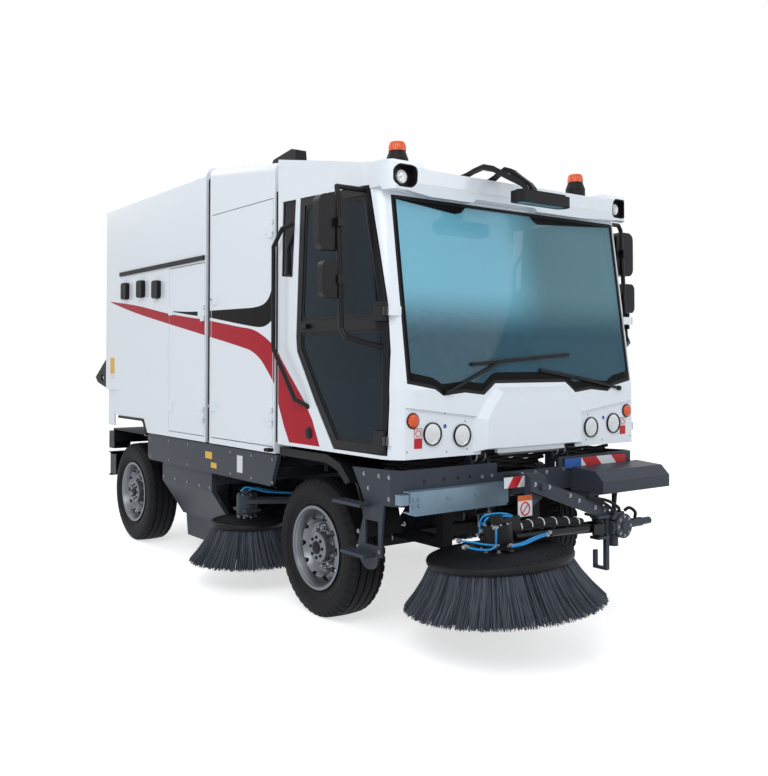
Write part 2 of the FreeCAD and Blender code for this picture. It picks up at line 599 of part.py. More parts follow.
FRONT = cab_front()
write("cab_front", FRONT)
SCREEN_GLASS = GLASS_BAND.common(prism_x(list(SCREEN), 560, 1100))


def side_glass():
    q = GLASS_BAND.common(side_tool(QUARTER))
    back = box(CAB_BACK_X + 12, CAB_BACK_X + 18, -620, 620, 1900, 2480)
    return fuse([q, mirror(q), back])


write("cab_glass", group([SCREEN_GLASS.cut(FRONT), side_glass()]))
MIRROR_Y = HALF + 187.0    # upright of the mirror arm
MIRROR_OUT = HALF + 320.0  # outer side of the mirror heads
MIRROR_ARM = ((600.0, -HALF + 15, 2596.0), (585.0, -MIRROR_Y + 7, 2600.0), (600.0, -MIRROR_Y, 2560.0),
              (640.0, -MIRROR_Y, 1790.0), (670.0, -MIRROR_Y + 12, 1745.0), (710.0, -HALF - 75, 1712.0),
              (750.0, -HALF + 15, 1690.0))
# mirror heads: rearmost x, thickness, inner y, outer y, low z, high z, corner radius
MIRROR_HEADS = (("x", "t", "y_in", "y_out", "z0", "z1", "r"),
                (545.0, 62.0, MIRROR_OUT - 188, MIRROR_OUT, 2232.0, 2548.0, 55.0),
                (575.0, 52.0, MIRROR_OUT - 175, MIRROR_OUT - 12, 1962.0, 2172.0, 40.0))


def cab_door():
    d = OUTER.cut(INNER).common(side_tool(DOOR, -SHUT))
    d = d.cut(box(CAB_BACK_X, FRONT_X, -HALF + WALL - SHUT, 0, CAB_Z0, FLOOR_Z + SHUT))     # the floor
    d = d.cut(side_tool(PANE_UP)).cut(side_tool(PANE_LOW))
    for z, _ in CAB_HINGES[1:]:
        d = d.cut(box(CAB_HINGE_X - KNUCKLE_R - PLAY, FRONT_X, -BEYOND, 0, z - 25 - PLAY, z + 25 + PLAY))
    parts = [d, pipe(MIRROR_ARM, 15).cut(INNER)]
    for x, t, y_in, y_out, z0, z1, r in MIRROR_HEADS[1:]:
        f = rounded([(x, -y_out, z0), (x, -y_in, z0), (x, -y_in, z1), (x, -y_out, z1)], r)
        parts.append(f.extrude(V(t, 0, 0)))
        z = (z0 + z1) / 2
        parts.append(box(x + 20, 640, -MIRROR_Y - 22, -MIRROR_Y + 22, z - 25, z + 25))
    for h in CAB_HINGES[1:]:
        parts += cab_strap(h)
    parts.append(box(-60, 30, -HALF - 26, -HALF - 14, 1812, 1840))        # pull handle
    parts += [box(x, x + 14, -HALF - 26, -HALF + 8, 1812, 1840) for x in (-60, 16)]
    return fuse(parts)


def cab_door_glass():
    return group([GLASS_BAND.common(side_tool(p)) for p in (PANE_UP, PANE_LOW)])


DOOR_R = cab_door()
DOOR_GLASS_R = cab_door_glass().cut(DOOR_R)
write("cab_door_right", DOOR_R)
write("cab_door_left", mirror(DOOR_R))
write("door_glass_right", DOOR_GLASS_R)
write("door_glass_left", mirror(DOOR_GLASS_R))

SEAT_Y = 420.0
SEAT_Z = 1540.0            # top of the cushion
WHEEL = dict(x=455.0, z=1800.0, r=215.0, tilt=28.0)       # steering wheel


def dash():
    """Instrument shelf with the steering column and wheel on the right."""
    top = prism_y([(640, 1400), (560, 1390), (540, 1310), (600, FLOOR_Z), (PANEL_X, FLOOR_Z), (PANEL_X, 1400)],
                  -HALF + 175, HALF - 175)
    w, y = WHEEL, -SEAT_Y
    a = math.radians(w["tilt"])
    axis, slope = V(-math.sin(a), 0, math.cos(a)), V(math.cos(a), 0, math.sin(a))
    c = V(w["x"], y, w["z"])
    foot = c - axis * 420
    parts = [top.common(INNER), rod(foot, c, 32), Part.makeTorus(w["r"], 15, c, axis),
             prism_y([(540, 1380), (700, 1380), (640, 1520), (590, 1520)], y - 190, y + 190),
             rod(c - axis * 12, c + axis * 20, 58)]
    for turn in (90, 210, 330):
        d = slope * math.sin(math.radians(turn)) + V(0, 1, 0) * math.cos(math.radians(turn))
        e = c + d * (w["r"] - 2)
        parts.append(beam((c.x, c.y, c.z), (e.x, e.y, e.z), 34, 14))
    return fuse(parts)


write("dash", dash())


def seats():
    """Base, cushion, back and head rest of each seat."""
    out = []
    for y in (-SEAT_Y, SEAT_Y):
        base = box(-60, 280, y - 190, y + 190, FLOOR_Z, SEAT_Z - 130)
        cushion = box(-100, 320, y - 245, y + 245, SEAT_Z - 130, SEAT_Z)
        back = prism_y([(-100, SEAT_Z), (20, SEAT_Z), (-60, SEAT_Z + 610), (-150, SEAT_Z + 610)],
                       y - 235, y + 235)
        head = prism_y([(-150, SEAT_Z + 610), (-68, SEAT_Z + 610), (-90, SEAT_Z + 790), (-150, SEAT_Z + 790)],
                       y - 130, y + 130)
        out.append(fuse([base, cushion, back, head]))
    return group(out)


write("seats", seats())

BEACON = dict(x=569.0, y=803.0, z_base=2815.0, r_base=67.0, z0=2862.0, z1=2920.0, r=54.0)
LAMPS = (("y", "z", "r"), (800.0, 1198.0, 61.0), (572.0, 1180.0, 61.0))
INDICATOR = dict(y=943.0, z=1277.0, r=38.0)
LAMP_X = FRONT_X - LAMP_SET
# arched arms of the front mirror: foot on the roof, swing in plan (degrees), size
MIRROR_ARCHES = (("x", "y", "turn", "scale"), (700.0, -470.0, 31.0, 0.96), (760.0, -250.0, 17.0, 0.68))
ARCH = ((0.0, 2712.0), (90.0, 2740.0), (140.0, 2764.0), (200.0, 2784.0), (265.0, 2768.0), (311.0, 2740.0),
        (368.0, 2708.0), (433.0, 2673.0), (470.0, 2640.0), (488.0, 2575.0))


def mirror_arch(x, y, turn, scale):
    """A thick band that rises from the roof and drops to the front mirror."""
    top = [(d * scale, z) for d, z in ARCH]
    pts = top + [(d * scale - 16, z - 26) for d, z in reversed(ARCH)]
    band = prism_y(pts, -29, 29)
    band.rotate(V(0, 0, 0), V(0, 0, 1), turn)
    band.translate(V(x, y, 0))
    return band


def front_mirror():
    rim = [(1030, -352, 2538), (1130, -352, 2538), (1130, 110, 2538), (1030, 110, 2538)]
    top = [(1045, -322, 2598), (1115, -322, 2598), (1115, 80, 2598), (1045, 80, 2598)]
    oval = rounded(rim, 49).extrude(V(0, 0, 62)).fuse(rounded(top, 34).extrude(V(0, 0, 14)))
    return fuse([oval] + [mirror_arch(*row) for row in MIRROR_ARCHES[1:]])


def wiper(pivot_y, pivot_z, end_y, end_z, blade):
    """Arm and blade of one wiper, just in front of the screen."""
    def at(y, z, gap):
        return (FRONT_X - 10 - LEAN * (z - WAIST_Z) + gap, y, z)
    (ya, za), (yb, zb) = blade
    return fuse([rod((FRONT_X - 30, pivot_y, pivot_z), at(pivot_y, pivot_z, 24), 16),
                 beam(at(pivot_y, pivot_z, 16), at(end_y, end_z, 14), 12, 16),
                 beam(at(ya, za, 7.5), at(yb, zb, 7.5), 14, 20)])


def cab_trim():
    """Black pieces on the cab: mirrors, grab handles, wipers, lamp rings and bases."""
    parts = []
    rail_y = HALF + 50
    for side in (-1, 1):
        h = [(-160, side * (HALF - 5), 2500), (-215, side * rail_y, 2465), (-320, side * rail_y, 2360),
             (-320, side * rail_y, 1690), (-60, side * rail_y, 1370), (30, side * (HALF - 5), 1320)]
        parts.append(pipe(h, 14).cut(OUTER))
    parts.append(front_mirror())
    for side in (-1, 1):
        b = BEACON
        foot = (b["x"], side * b["y"], b["z_base"])
        base = rod((b["x"], side * b["y"], 2720), foot, b["r_base"])
        cone = Part.makeCone(b["r_base"], b["r"] - 4, b["z0"] - b["z_base"], V(*foot), V(0, 0, 1))
        parts.append(base.fuse(cone).cut(OUTER))
    parts += [wiper(-705, 1432, -250, 1608, ((-490, 1592), (375, 1655))),
              wiper(835, 1432, 430, 1506, ((90, 1556), (620, 1478)))]
    for y, z, r in LAMPS[1:]:
        parts += both(ring((LAMP_X, -y, z), (LAMP_X + 12, -y, z), r + 5, r))
    lining = pod_tool(0.0, POD["x"] - 30, 845).cut(pod_tool(7.0, POD["x"] - 18, 900))
    lining = lining.common(visor()[0])
    parts += both(lining)
    stem = box(672, 690, -215, -75, 2290, 2660)
    glass = prism_x([(-350, 2200), (-310, 2303), (-45, 2303), (-20, 2265), (-100, 2170), (-265, 2163)],
                    640, 672)
    parts.append(stem.fuse(glass))
    return [p.cut(SHELL).cut(FRONT).cut(SCREEN_GLASS) for p in parts]


write("cab_trim", group(cab_trim()))


def signal_lamps():
    """Amber beacons and corner indicators."""
    parts = []
    for side in (-1, 1):
        b, i = BEACON, INDICATOR
        shoulder = (b["x"], side * b["y"], b["z1"] - 12)
        parts.append(rod((b["x"], side * b["y"], b["z0"]), shoulder, b["r"]))
        parts.append(Part.makeCone(b["r"], b["r"] - 14, 12, V(*shoulder), V(0, 0, 1)))
        parts.append(rod((LAMP_X, side * i["y"], i["z"]), (LAMP_X + 12, side * i["y"], i["z"]), i["r"]))
        parts.append(Part.makeCone(i["r"], i["r"] - 14, 12, V(LAMP_X + 12, side * i["y"], i["z"]), V(1, 0, 0)))
    return fuse(parts).cut(FRONT)


write("signal_lamps", signal_lamps())


def head_lamps():
    parts = []
    for y, z, r in LAMPS[1:]:
        parts += both(fuse([rod((LAMP_X, -y, z), (LAMP_X + 10, -y, z), r),
                            Part.makeCone(r, r - 22, 10, V(LAMP_X + 10, -y, z), V(1, 0, 0))]))
    p = POD
    parts += both(rod((p["x"] - 18, -p["y"], p["z"]), (p["x"] + 4, -p["y"], p["z"]), 44))
    return group(parts)


write("head_lamps", head_lamps())


# ---------------------------------------------------------------- middle section
MID_TOP = ((MID_BACK_X, 3065.0), (MID_FRONT_X, 2942.0))
MID_SEAM_Z = 2717.0
HINGE_Y = HALF + 12.0
MID_DOOR = dict(x0=-1300.0, x1=-406.0, z0=1036.0, z1=2700.0)
EDGE_R = 70.0


def section(x, inset, top, bottom):
    h = HALF - inset
    r = max(EDGE_R - inset, 10.0)
    return rounded([(x, -h, bottom), (x, h, bottom), (x, h, top - inset), (x, -h, top - inset)], [0, 0, r, r])


def mid_form(inset):
    a = section(MID_BACK_X + inset, inset, MID_TOP[0][1], SKIRT_Z + inset)
    b = section(MID_FRONT_X - inset, inset, MID_TOP[1][1], SKIRT_Z + inset)
    return Part.makeLoft([a.OuterWire, b.OuterWire], True, True)


def mid_shell():
    s = mid_form(0).cut(mid_form(PANEL))
    d = MID_DOOR
    opening = box(d["x0"], d["x1"], -HALF - 10, -HALF + PANEL + 5, d["z0"], d["z1"])
    s = s.cut(opening).cut(mirror(opening))
    # the floor is open over the frame, and its edges stand on the rails
    s = s.cut(box(-1250, -450, -400, 400, SKIRT_Z - 5, SKIRT_Z + PANEL + 5))
    legs = []
    for x in (-1270, -430):
        legs += both(box(x - 20, x + 20, -RAIL_Y, -RAIL_Y + 60, RAIL_Z1, SKIRT_Z))
    return fuse([s] + legs)


SEAM_IN = 12.0             # how far the seam strips are set in


def body_trim():
    """Seam strips beside the middle section, its roof cowl and the two lamps at its lower front corner."""
    y0, y1 = HALF - SEAM_IN - 40, HALF - SEAM_IN
    parts = both(box(HOPPER_X + 17, MID_BACK_X, -y1, -y0, SKIRT_Z + 10, MID_TOP[0][1] - 80))
    parts += both(box(MID_FRONT_X, CAB_BACK_X - 8, -y1, -y0, SKIRT_Z + 80, 2737))
    parts += both(prism_y([(-720, 2990), (-690, 3030), (-450, 3062), (-405, 3050), (-392, 2945), (-720, 2980)],
                          -HALF + 170, -HALF + 260).cut(mid_form(0)))
    for x in (-440, -405):
        parts += both(rod((x, -HALF, SKIRT_Z + 23), (x, -HALF - 42, SKIRT_Z + 23), 12))
    return group(parts)


write("body_trim", body_trim())


HINGE_R, HINGE_PIN_R = 12.0, 7.0


def hinge_x(x_edge):
    """Axis of a door whose front edge is at x_edge."""
    return x_edge - 2.0


def door_hinges(x_edge, z_list):
    """Leaf, two knuckles and the pin on the door's outside."""
    out, x = [], hinge_x(x_edge)
    y0, y1 = -HALF - 8, -HALF
    for z in z_list:
        out.append(box(x_edge - 60, x_edge, y0, y1, z - 60, z - 30))
        out.append(box(x_edge - 60, x_edge, y0, y1, z + 30, z + 60))
        out.append(box(x_edge - 100, x_edge - 40, y0, y1, z - 30, z + 30))
        out.append(rod((x, -HINGE_Y, z - 60), (x, -HINGE_Y, z - 30), HINGE_R))
        out.append(rod((x, -HINGE_Y, z + 30), (x, -HINGE_Y, z + 60), HINGE_R))
        out.append(rod((x, -HINGE_Y, z - 60), (x, -HINGE_Y, z + 60), HINGE_PIN_R - RUN))
    return out


def body_hinges(x_edge, z_list):
    """The fixed knuckle of each hinge, with its leaf on the panel in front of the door."""
    out, x = [], hinge_x(x_edge)
    for z in z_list:
        leaf = box(x, x_edge + SHUT + 10, -HINGE_Y, -HALF, z - 25, z + 25)
        knuckle_ring = rod((x, -HINGE_Y, z - 25), (x, -HINGE_Y, z + 25), HINGE_R)
        out.append(leaf.fuse(knuckle_ring).cut(rod((x, -HINGE_Y, z - 30), (x, -HINGE_Y, z + 30), HINGE_PIN_R)))
    return out


def service_door(x0, x1, z0, z1, hinge_z, latches):
    d = box(x0 + SHUT, x1 - SHUT, -HALF, -HALF + PANEL, z0 + SHUT, z1 - SHUT)
    for z in hinge_z:
        d = d.cut(box(x1 - SHUT - 24, x1, -HALF - 1, -HALF + 6, z - 30, z + 30))
    parts = [d] + door_hinges(x1 - SHUT, hinge_z)
    for x, z in latches:
        parts.append(box(x - 35, x + 35, -HALF - 12, -HALF, z - 38, z + 38))
    return fuse(parts)


MID_HINGE_Z = (2495.0, 1236.0)
MID_DOOR_R = service_door(MID_DOOR["x0"], MID_DOOR["x1"], MID_DOOR["z0"], MID_DOOR["z1"],
                          MID_HINGE_Z, ((-1235.0, 2063.0), (-1255.0, 1275.0)))
MID = mid_shell().cut(ENGINE)
for h in body_hinges(MID_DOOR["x1"] - SHUT, MID_HINGE_Z):
    MID = MID.fuse(h).fuse(mirror(h))
write("mid_shell", MID.removeSplitter())
write("mid_door_right", MID_DOOR_R)
write("mid_door_left", mirror(MID_DOOR_R))

# ---------------------------------------------------------------- hopper
HOPPER_SIDE = ((REAR_X, 1350.0), (REAR_X, HOPPER_TOP - 40.0), (REAR_X + 40.0, HOPPER_TOP),
               (HOPPER_X, HOPPER_TOP),
               (HOPPER_X, SKIRT_Z), (-2473.0, SKIRT_Z), (-2552.0, 1110.0), (-3119.0, 1110.0),
               (-3283.0, 1110.0), (-3283.0, 1010.0), (-3430.0, 1010.0), (-3430.0, 1350.0))
HOP_DOOR = dict(x0=-2045.0, x1=-1404.0, z0=1036.0, z1=2360.0)
GATE = dict(z0=1380.0, z1=HOPPER_TOP - 90.0, half=HALF - 90.0)
REAR_CORNER_X, REAR_CORNER_Z = -3121.0, 1343.0         # set-back lower rear corner
GATE_HINGES = (-700.0, 0.0, 700.0)
GATE_PIN_X, GATE_PIN_Z = REAR_X - 22.0, GATE["z1"] + 6.0
FLOOR_HOP = 1110.0


def hopper_form(inset):
    sec = rounded([(REAR_X - 50, -HALF + inset, 900 + inset), (REAR_X - 50, HALF - inset, 900 + inset),
                   (REAR_X - 50, HALF - inset, HOPPER_TOP - inset),
                   (REAR_X - 50, -HALF + inset, HOPPER_TOP - inset)],
                  [0, 0, EDGE_R - inset + 1, EDGE_R - inset + 1])
    return sec.extrude(V(HOPPER_X - REAR_X + 100, 0, 0))


def hopper_shell():
    outer = hopper_form(0).common(prism_y(list(HOPPER_SIDE), -BEYOND, BEYOND))
    inner = hopper_form(PANEL).common(box(REAR_X + PANEL, HOPPER_X - PANEL, -BEYOND, BEYOND,
                                          FLOOR_HOP + PANEL, HOPPER_TOP - PANEL))
    s = outer.cut(inner)
    # the skirts under the floor are only side panels
    s = s.cut(box(REAR_X - 10, HOPPER_X + 10, -HALF + PANEL, HALF - PANEL, 900, FLOOR_HOP))
    # rear opening for the tailgate, side opening for the hatch
    s = s.cut(box(REAR_X - 10, REAR_X + PANEL + 10, -GATE["half"], GATE["half"], GATE["z0"], GATE["z1"]))
    d = HOP_DOOR
    opening = box(d["x0"], d["x1"], -HALF - 10, -HALF + PANEL + 5, d["z0"], d["z1"])
    s = s.cut(opening).cut(mirror(opening))
    corner = box(REAR_X - 1, REAR_CORNER_X, -BEYOND, -HALF + 24, 1000, REAR_CORNER_Z)
    s = s.cut(corner).cut(mirror(corner))
    # floor bearers at the rails' width, and the tipping pin
    y_in = RAIL_Y - 20 - 20 - SHUT
    bearers = both(box(-3250, HOPPER_X, -RAIL_Y, -RAIL_Y + 60, BEARER_Z, FLOOR_HOP))
    pin = rod((TIP_X, -RAIL_Y - 20, TIP_Z), (TIP_X, RAIL_Y + 20, TIP_Z), TIP_PIN_R - RUN)
    ears = []
    for y in GATE_HINGES:
        for s0 in (-72, 56):
            e = box(GATE_PIN_X - 14, REAR_X, y + s0, y + s0 + 16, GATE_PIN_Z - 14, GATE_PIN_Z + 30)
            ears.append(e.cut(rod((GATE_PIN_X, y - 90, GATE_PIN_Z), (GATE_PIN_X, y + 90, GATE_PIN_Z), 8)))
    lug = both(prism_y([(TIP_X - 36, TIP_Z), (TIP_X + 120, TIP_Z - 10),
                        (TIP_X + 120, FLOOR_HOP), (TIP_X - 36, FLOOR_HOP)],
                       -y_in, -y_in + 60))
    return fuse([s] + bearers + [pin] + lug + ears)


HOP_HINGE_Z = (1971.0, 1200.0)
HOPPER = hopper_shell()
for h in body_hinges(HOP_DOOR["x1"] - SHUT, HOP_HINGE_Z):
    HOPPER = HOPPER.fuse(h).fuse(mirror(h))
write("hopper_shell", HOPPER.removeSplitter())


def tailgate():
    g = GATE
    d = box(REAR_X, REAR_X + PANEL, -g["half"] + SHUT, g["half"] - SHUT, g["z0"] + SHUT, g["z1"] - SHUT)
    ribs = [box(REAR_X - 30, REAR_X, y - 25, y + 25, g["z0"] + 40, g["z1"] - 60) for y in (-600, 0, 600)]
    hinges = []
    for y in GATE_HINGES:
        hinges.append(box(GATE_PIN_X - 14, REAR_X, y - 50, y + 50, g["z1"] - 90, g["z1"] - 34))
        hinges.append(box(GATE_PIN_X - 14, GATE_PIN_X + 8, y - 50, y + 50, g["z1"] - 60, GATE_PIN_Z))
        hinges.append(rod((GATE_PIN_X, y - 50, GATE_PIN_Z), (GATE_PIN_X, y + 50, GATE_PIN_Z), 14))
        hinges.append(rod((GATE_PIN_X, y - 80, GATE_PIN_Z), (GATE_PIN_X, y + 80, GATE_PIN_Z), 8 - RUN))
    return fuse([d] + ribs + hinges)


write("tailgate", tailgate())


VENTS = (("x", "z"), (-2944.0, 2232.0), (-2592.0, 2229.0), (-2266.0, 2205.0))
ARCH_EDGE = ((-3121.0, 1110.0), (-2562.0, 1110.0), (-2484.0, SKIRT_Z))


def hopper_trim():
    """Dark pieces on the hopper: side strip, vent cowls, wheel arch edge, corner panel, lashing bracket."""
    y = -HALF
    strip = box(-3096, -1410, y - 14, y, 2376, 2411)
    cowls = []
    for x, z in VENTS[1:]:
        f = rounded([(x - 58, y, z - 74), (x + 58, y, z - 74), (x + 58, y, z + 74), (x - 58, y, z + 74)], 26)
        cowl = f.extrude(V(0, -38, 0)).cut(box(x - 60, x + 14, y - 32, y - 8, z - 52, z + 52))
        cowls.append(cowl)
    (xa, za), (xb, zb), (xc, zc) = ARCH_EDGE
    arch = prism_y([(xa, za), (xb - 12, zb), (xb + 22, zb - 14), (xc, zc), (xc - 26, zc), (xb + 2, zb - 34),
                    (xb - 24, zb - 22), (xa, za - 22)], y - 6, y + PANEL)
    arch = arch.cut(prism_y(list(HOPPER_SIDE), -BEYOND, BEYOND))
    end = REAR_X - EYE_REACH
    bracket = prism_y([(REAR_X, 1639), (end, 1450), (end + 60, 1400), (REAR_X, 1350)],
                      y + 9, y + 29)
    bracket = bracket.cut(rod((REAR_X - 120, -BEYOND, 1447), (REAR_X - 120, 0, 1447), 32))
    return group(sum([both(p) for p in [strip, arch, bracket] + cowls], []))


write("hopper_trim", hopper_trim())
HOP_DOOR_R = service_door(HOP_DOOR["x0"], HOP_DOOR["x1"], HOP_DOOR["z0"], HOP_DOOR["z1"],
                          HOP_HINGE_Z, ((-2000.0, 2016.0), (-1996.0, 1241.0)))
write("hopper_door_right", HOP_DOOR_R)
write("hopper_door_left", mirror(HOP_DOOR_R))

# ---------------------------------------------------------------- sills, guards, steps, bumper
def sill():
    """Grey side apron with a slanted front end, carried by the outriggers."""
    pts = [(-2473, SKIRT_Z - 10), (-2473, 800), (-2440, SILL_Z), (-445, SILL_Z), (-356, SKIRT_Z - 10)]
    return prism_y(pts, -SILL_Y - SILL_T, -SILL_Y)


write("sills", group(both(sill())))

BOX_X0, BOX_X1 = -2248.0, -1361.0
MAIN = dict(x=-1850.0, z=330.0, r=300.0, half=640.0)     # cylindrical brush
MAIN_SHAFT_R = 30.0


def sweeper_housing():
    """Hood of the cylindrical brush: open below, side cheeks that lean inwards to the ground."""
    y0 = SILL_Y - 5
    cheek = prism_x([(-y0, 815), (-y0, 620), (-y0 + 190, 330), (-y0 + 225, 330), (-y0 + 40, 620),
                     (-y0 + 40, 815)], BOX_X0, BOX_X1)
    flap = prism_x([(-y0 + 190, 330), (-y0 + 205, 150), (-y0 + 217, 150), (-y0 + 202, 330)],
                   BOX_X0 + 60, BOX_X1 - 120)
    s = fuse(both(cheek) + both(flap) + [box(BOX_X0, BOX_X1, -y0 + 20, y0 - 20, RAIL_Z0 - 30, RAIL_Z0)])
    m = MAIN
    hangers = []
    for h in both(box(m["x"] - 60, m["x"] + 60, -m["half"] - 60, -m["half"] - 20, m["z"] - 60, RAIL_Z0 - 10)):
        hangers.append(h.cut(rod((m["x"], -BEYOND, m["z"]), (m["x"], BEYOND, m["z"]), MAIN_SHAFT_R)))
    return fuse([s] + hangers)


write("sweeper_housing", sweeper_housing())


def mudguards():
    """Front arches, rear arches and mudflaps."""
    parts = []
    z, t = FRONT_GUARD_Z, GUARD_T
    front = [(-340, z + t), (205, z + t), (345, z - 28), (470, z - 146), (536, z - 306), (560, z - 436),
             (546, z - 436), (522, z - 310), (458, z - 156), (338, z - 42), (203, z), (-340, z)]
    rim = [(-340, z), (203, z), (338, z - 42), (430, z - 129), (402, z - 146), (318, z - 74), (195, z - 36),
           (-340, z - 36)]
    guard = prism_y(front, -GUARD_Y1, -GUARD_Y0).fuse(prism_y(rim, -GUARD_Y1, -GUARD_Y1 + 6))
    parts += both(guard.cut(box(438, 600, -BEYOND, -PLATE_Y + 14 + SHUT, z - 500, z)))
    z = REAR_GUARD_Z
    rear = [(-3280, z - 111), (-3280, z + t), (-2560, z + t), (-2485, z - 11), (-2485, z - 25), (-2564, z),
            (-3266, z), (-3266, z - 111)]
    parts += both(prism_y(rear, -GUARD_Y1, -GUARD_Y0))
    return group(parts)


write("mudguards", mudguards())


def marker_boards():
    """Blank striped board on the cross plate, the white box over it, and two small plates beside the arm."""
    f = FRONT_ARM
    return group([box(PLATE_X1, PLATE_X1 + 12, 318, 935, 926, 990),
                  box(f["x"] - 62, f["x"] - 56, f["y0"] - 240, f["y0"] - 70, 886, 948),
                  box(f["x"] - 41, f["x"] - 35, f["y0"] - 150, f["y0"] - 33, 718, 840)])


write("marker_boards", marker_boards())

# ---------------------------------------------------------------- brushes
SHAFT_R = 30.0


def brush(b, shaft_top):
    """A dished disc with a rolled edge, and a hollow flared skirt of bristles round a vertical axis."""
    r, z, t = b["r_disc"], b["z_disc"], b["t"]
    disc = turn_z([(0, z), (r - 6, z), (r + 6, z + 0.25 * t), (r, z + 0.55 * t), (r * 0.9, z + 0.75 * t),
                   (r * 0.55, z + t), (0, z + t)], b["x"], b["y"])
    skirt = turn_z([(r - 110, z), (r - 8, z), (b["r_tip"], b["z_tip"]), (b["r_tip"] - 150, b["z_tip"])],
                   b["x"], b["y"])
    shaft = rod((b["x"], b["y"], z + t - 10), (b["x"], b["y"], shaft_top), SHAFT_R - RUN)
    return fuse([disc, skirt, shaft])


SB = dict(x=-1012.0, y=-HALF + 150.0, r_disc=260.0, r_tip=429.0, z_disc=417.0, z_tip=170.0, t=60.0)
SHAFT_TOP = 540.0          # side brush shaft
SIDE_R = brush(SB, SHAFT_TOP)
write("side_brush_right", SIDE_R)
write("side_brush_left", mirror(SIDE_R))

LIFT_DX = 85.0             # side arm's lift pin behind its vertical pin
SIDE_PIN_R = 15.0


def side_base():
    """Bracket that turns on the vertical pin under the rail, with a horizontal lift pin."""
    x, y, z = ARM_PIVOT["x"], ARM_PIVOT["y"], ARM_PIVOT["z"]
    post = ring((x, y, z - 55), (x, y, RAIL_Z0 - 10), 45, ARM_PIN_R)
    ears = [box(x - LIFT_DX - 18, x - 30, y - 76, y - 58, z - 35, z + 35),
            box(x - LIFT_DX - 18, x - 30, y + 58, y + 76, z - 35, z + 35)]
    web = box(x - 50, x - 30, y - 76, y + 76, z - 35, z + 35)
    s = fuse([post, web] + ears)
    s = s.cut(rod((x, y, z - 120), (x, y, RAIL_Z0 + 20), ARM_PIN_R))
    return s.cut(rod((x - LIFT_DX, y - 80, z), (x - LIFT_DX, y + 80, z), SIDE_PIN_R))


SIDE_BASE = side_base()
write("side_arm_base_right", SIDE_BASE)
write("side_arm_base_left", mirror(SIDE_BASE))


def side_arm():
    """Lift eye, arm of two bars, and the brush motor at its end."""
    x, y, z = ARM_PIVOT["x"] - LIFT_DX, ARM_PIVOT["y"], ARM_PIVOT["z"]
    bx, by = SB["x"], SB["y"]
    parts = [rod((x, y - 80, z), (x, y + 80, z), SIDE_PIN_R - RUN), rod((x, y - 30, z), (x, y + 30, z), 28)]
    parts.append(beam((x - 15, y, z), (bx + 20, by + 10, z - 15), 50, 40))
    parts.append(beam((x - 60, y - 62, z - 10), (bx + 50, by - 40, z - 20), 30, 30))
    parts.append(beam((x - 60, y, z - 5), (x - 60, y - 75, z - 10), 30, 30))
    parts.append(rod((bx, by, SHAFT_TOP - 40), (bx, by, z + 25), 75))
    parts.append(box(bx - 95, bx + 95, by - 60, by + 60, SHAFT_TOP - 20, SHAFT_TOP))
    parts.append(rod((bx, by, z + 25), (bx, by, z + 60), 38))
    return fuse(parts).cut(rod((bx, by, SHAFT_TOP - 60), (bx, by, SHAFT_TOP + 5), SHAFT_R))


SIDE_ARM = side_arm()
write("side_arm_right", SIDE_ARM)
write("side_arm_left", mirror(SIDE_ARM))


def main_brush():
    m = MAIN
    core = rod((m["x"], -m["half"], m["z"]), (m["x"], m["half"], m["z"]), m["r"])
    shaft = rod((m["x"], -m["half"] - 60, m["z"]), (m["x"], m["half"] + 60, m["z"]), MAIN_SHAFT_R - RUN)
    return fuse([core, shaft])


write("main_brush", main_brush())

# front arm
POST_Y = FRONT_ARM["y1"] - 80.0          # vertical pin that the lower arm swings on
POST_R = 22.0
POST_Z = 330.0                    # foot of the end post
YOKE_Z = 600.0
LIFT_Y = POST_Y - 75.0            # horizontal pin that the brush arm lifts on
LIFT_R = 14.0
ARM_T = 24.0                      # plate of the upper arm
PIVOT_R = 20.0                    # pin of the upper arm


def front_arm_mount():
    """Bracket with the upper arm's pin, and the sheet cover over the valves, fixed on the cross plate."""
    f = FRONT_ARM
    x_ear = f["x"] - 60
    y0 = f["y0"]
    root = box(BEAM_X0, x_ear, y0 + 14, y0 + 90, 830, 930)
    ear = prism_x([(y0 - 70, 750), (y0 + 70, 820), (y0 + 90, 930), (y0 + 40, 960), (y0 - 70, 960)],
                  x_ear, x_ear + 25)
    pin = rod((x_ear, y0, f["z0"]), (f["x"] + 30, y0, f["z0"]), PIVOT_R - RUN)
    top, low, back = 935.0, 785.0, BEAM_X0
    y_in, y_out = 390.0, HALF - 5
    cover = prism_y([(back, low), (1120, low), (1120, 862), (1060, 922), (back, top)], y_in, y_out)
    hollow = [(back - 1, low - 10), (1104, low - 10), (1104, 855), (1053, 907), (back - 1, top - 16)]
    cover = cover.cut(prism_y(hollow, y_in + 14, y_out - 14))
    valves = box(back, back + 120, y_in + 30, HALF - 200, low - 30, low + 60)
    rails = box(back, back + 140, y_in + 10, y_in + 50, RAIL_Z0 + 40, low + 40)
    return group([fuse([root, ear, pin]), fuse([cover, valves, rails])])


write("front_arm_mount", front_arm_mount().cut(marker_boards()))


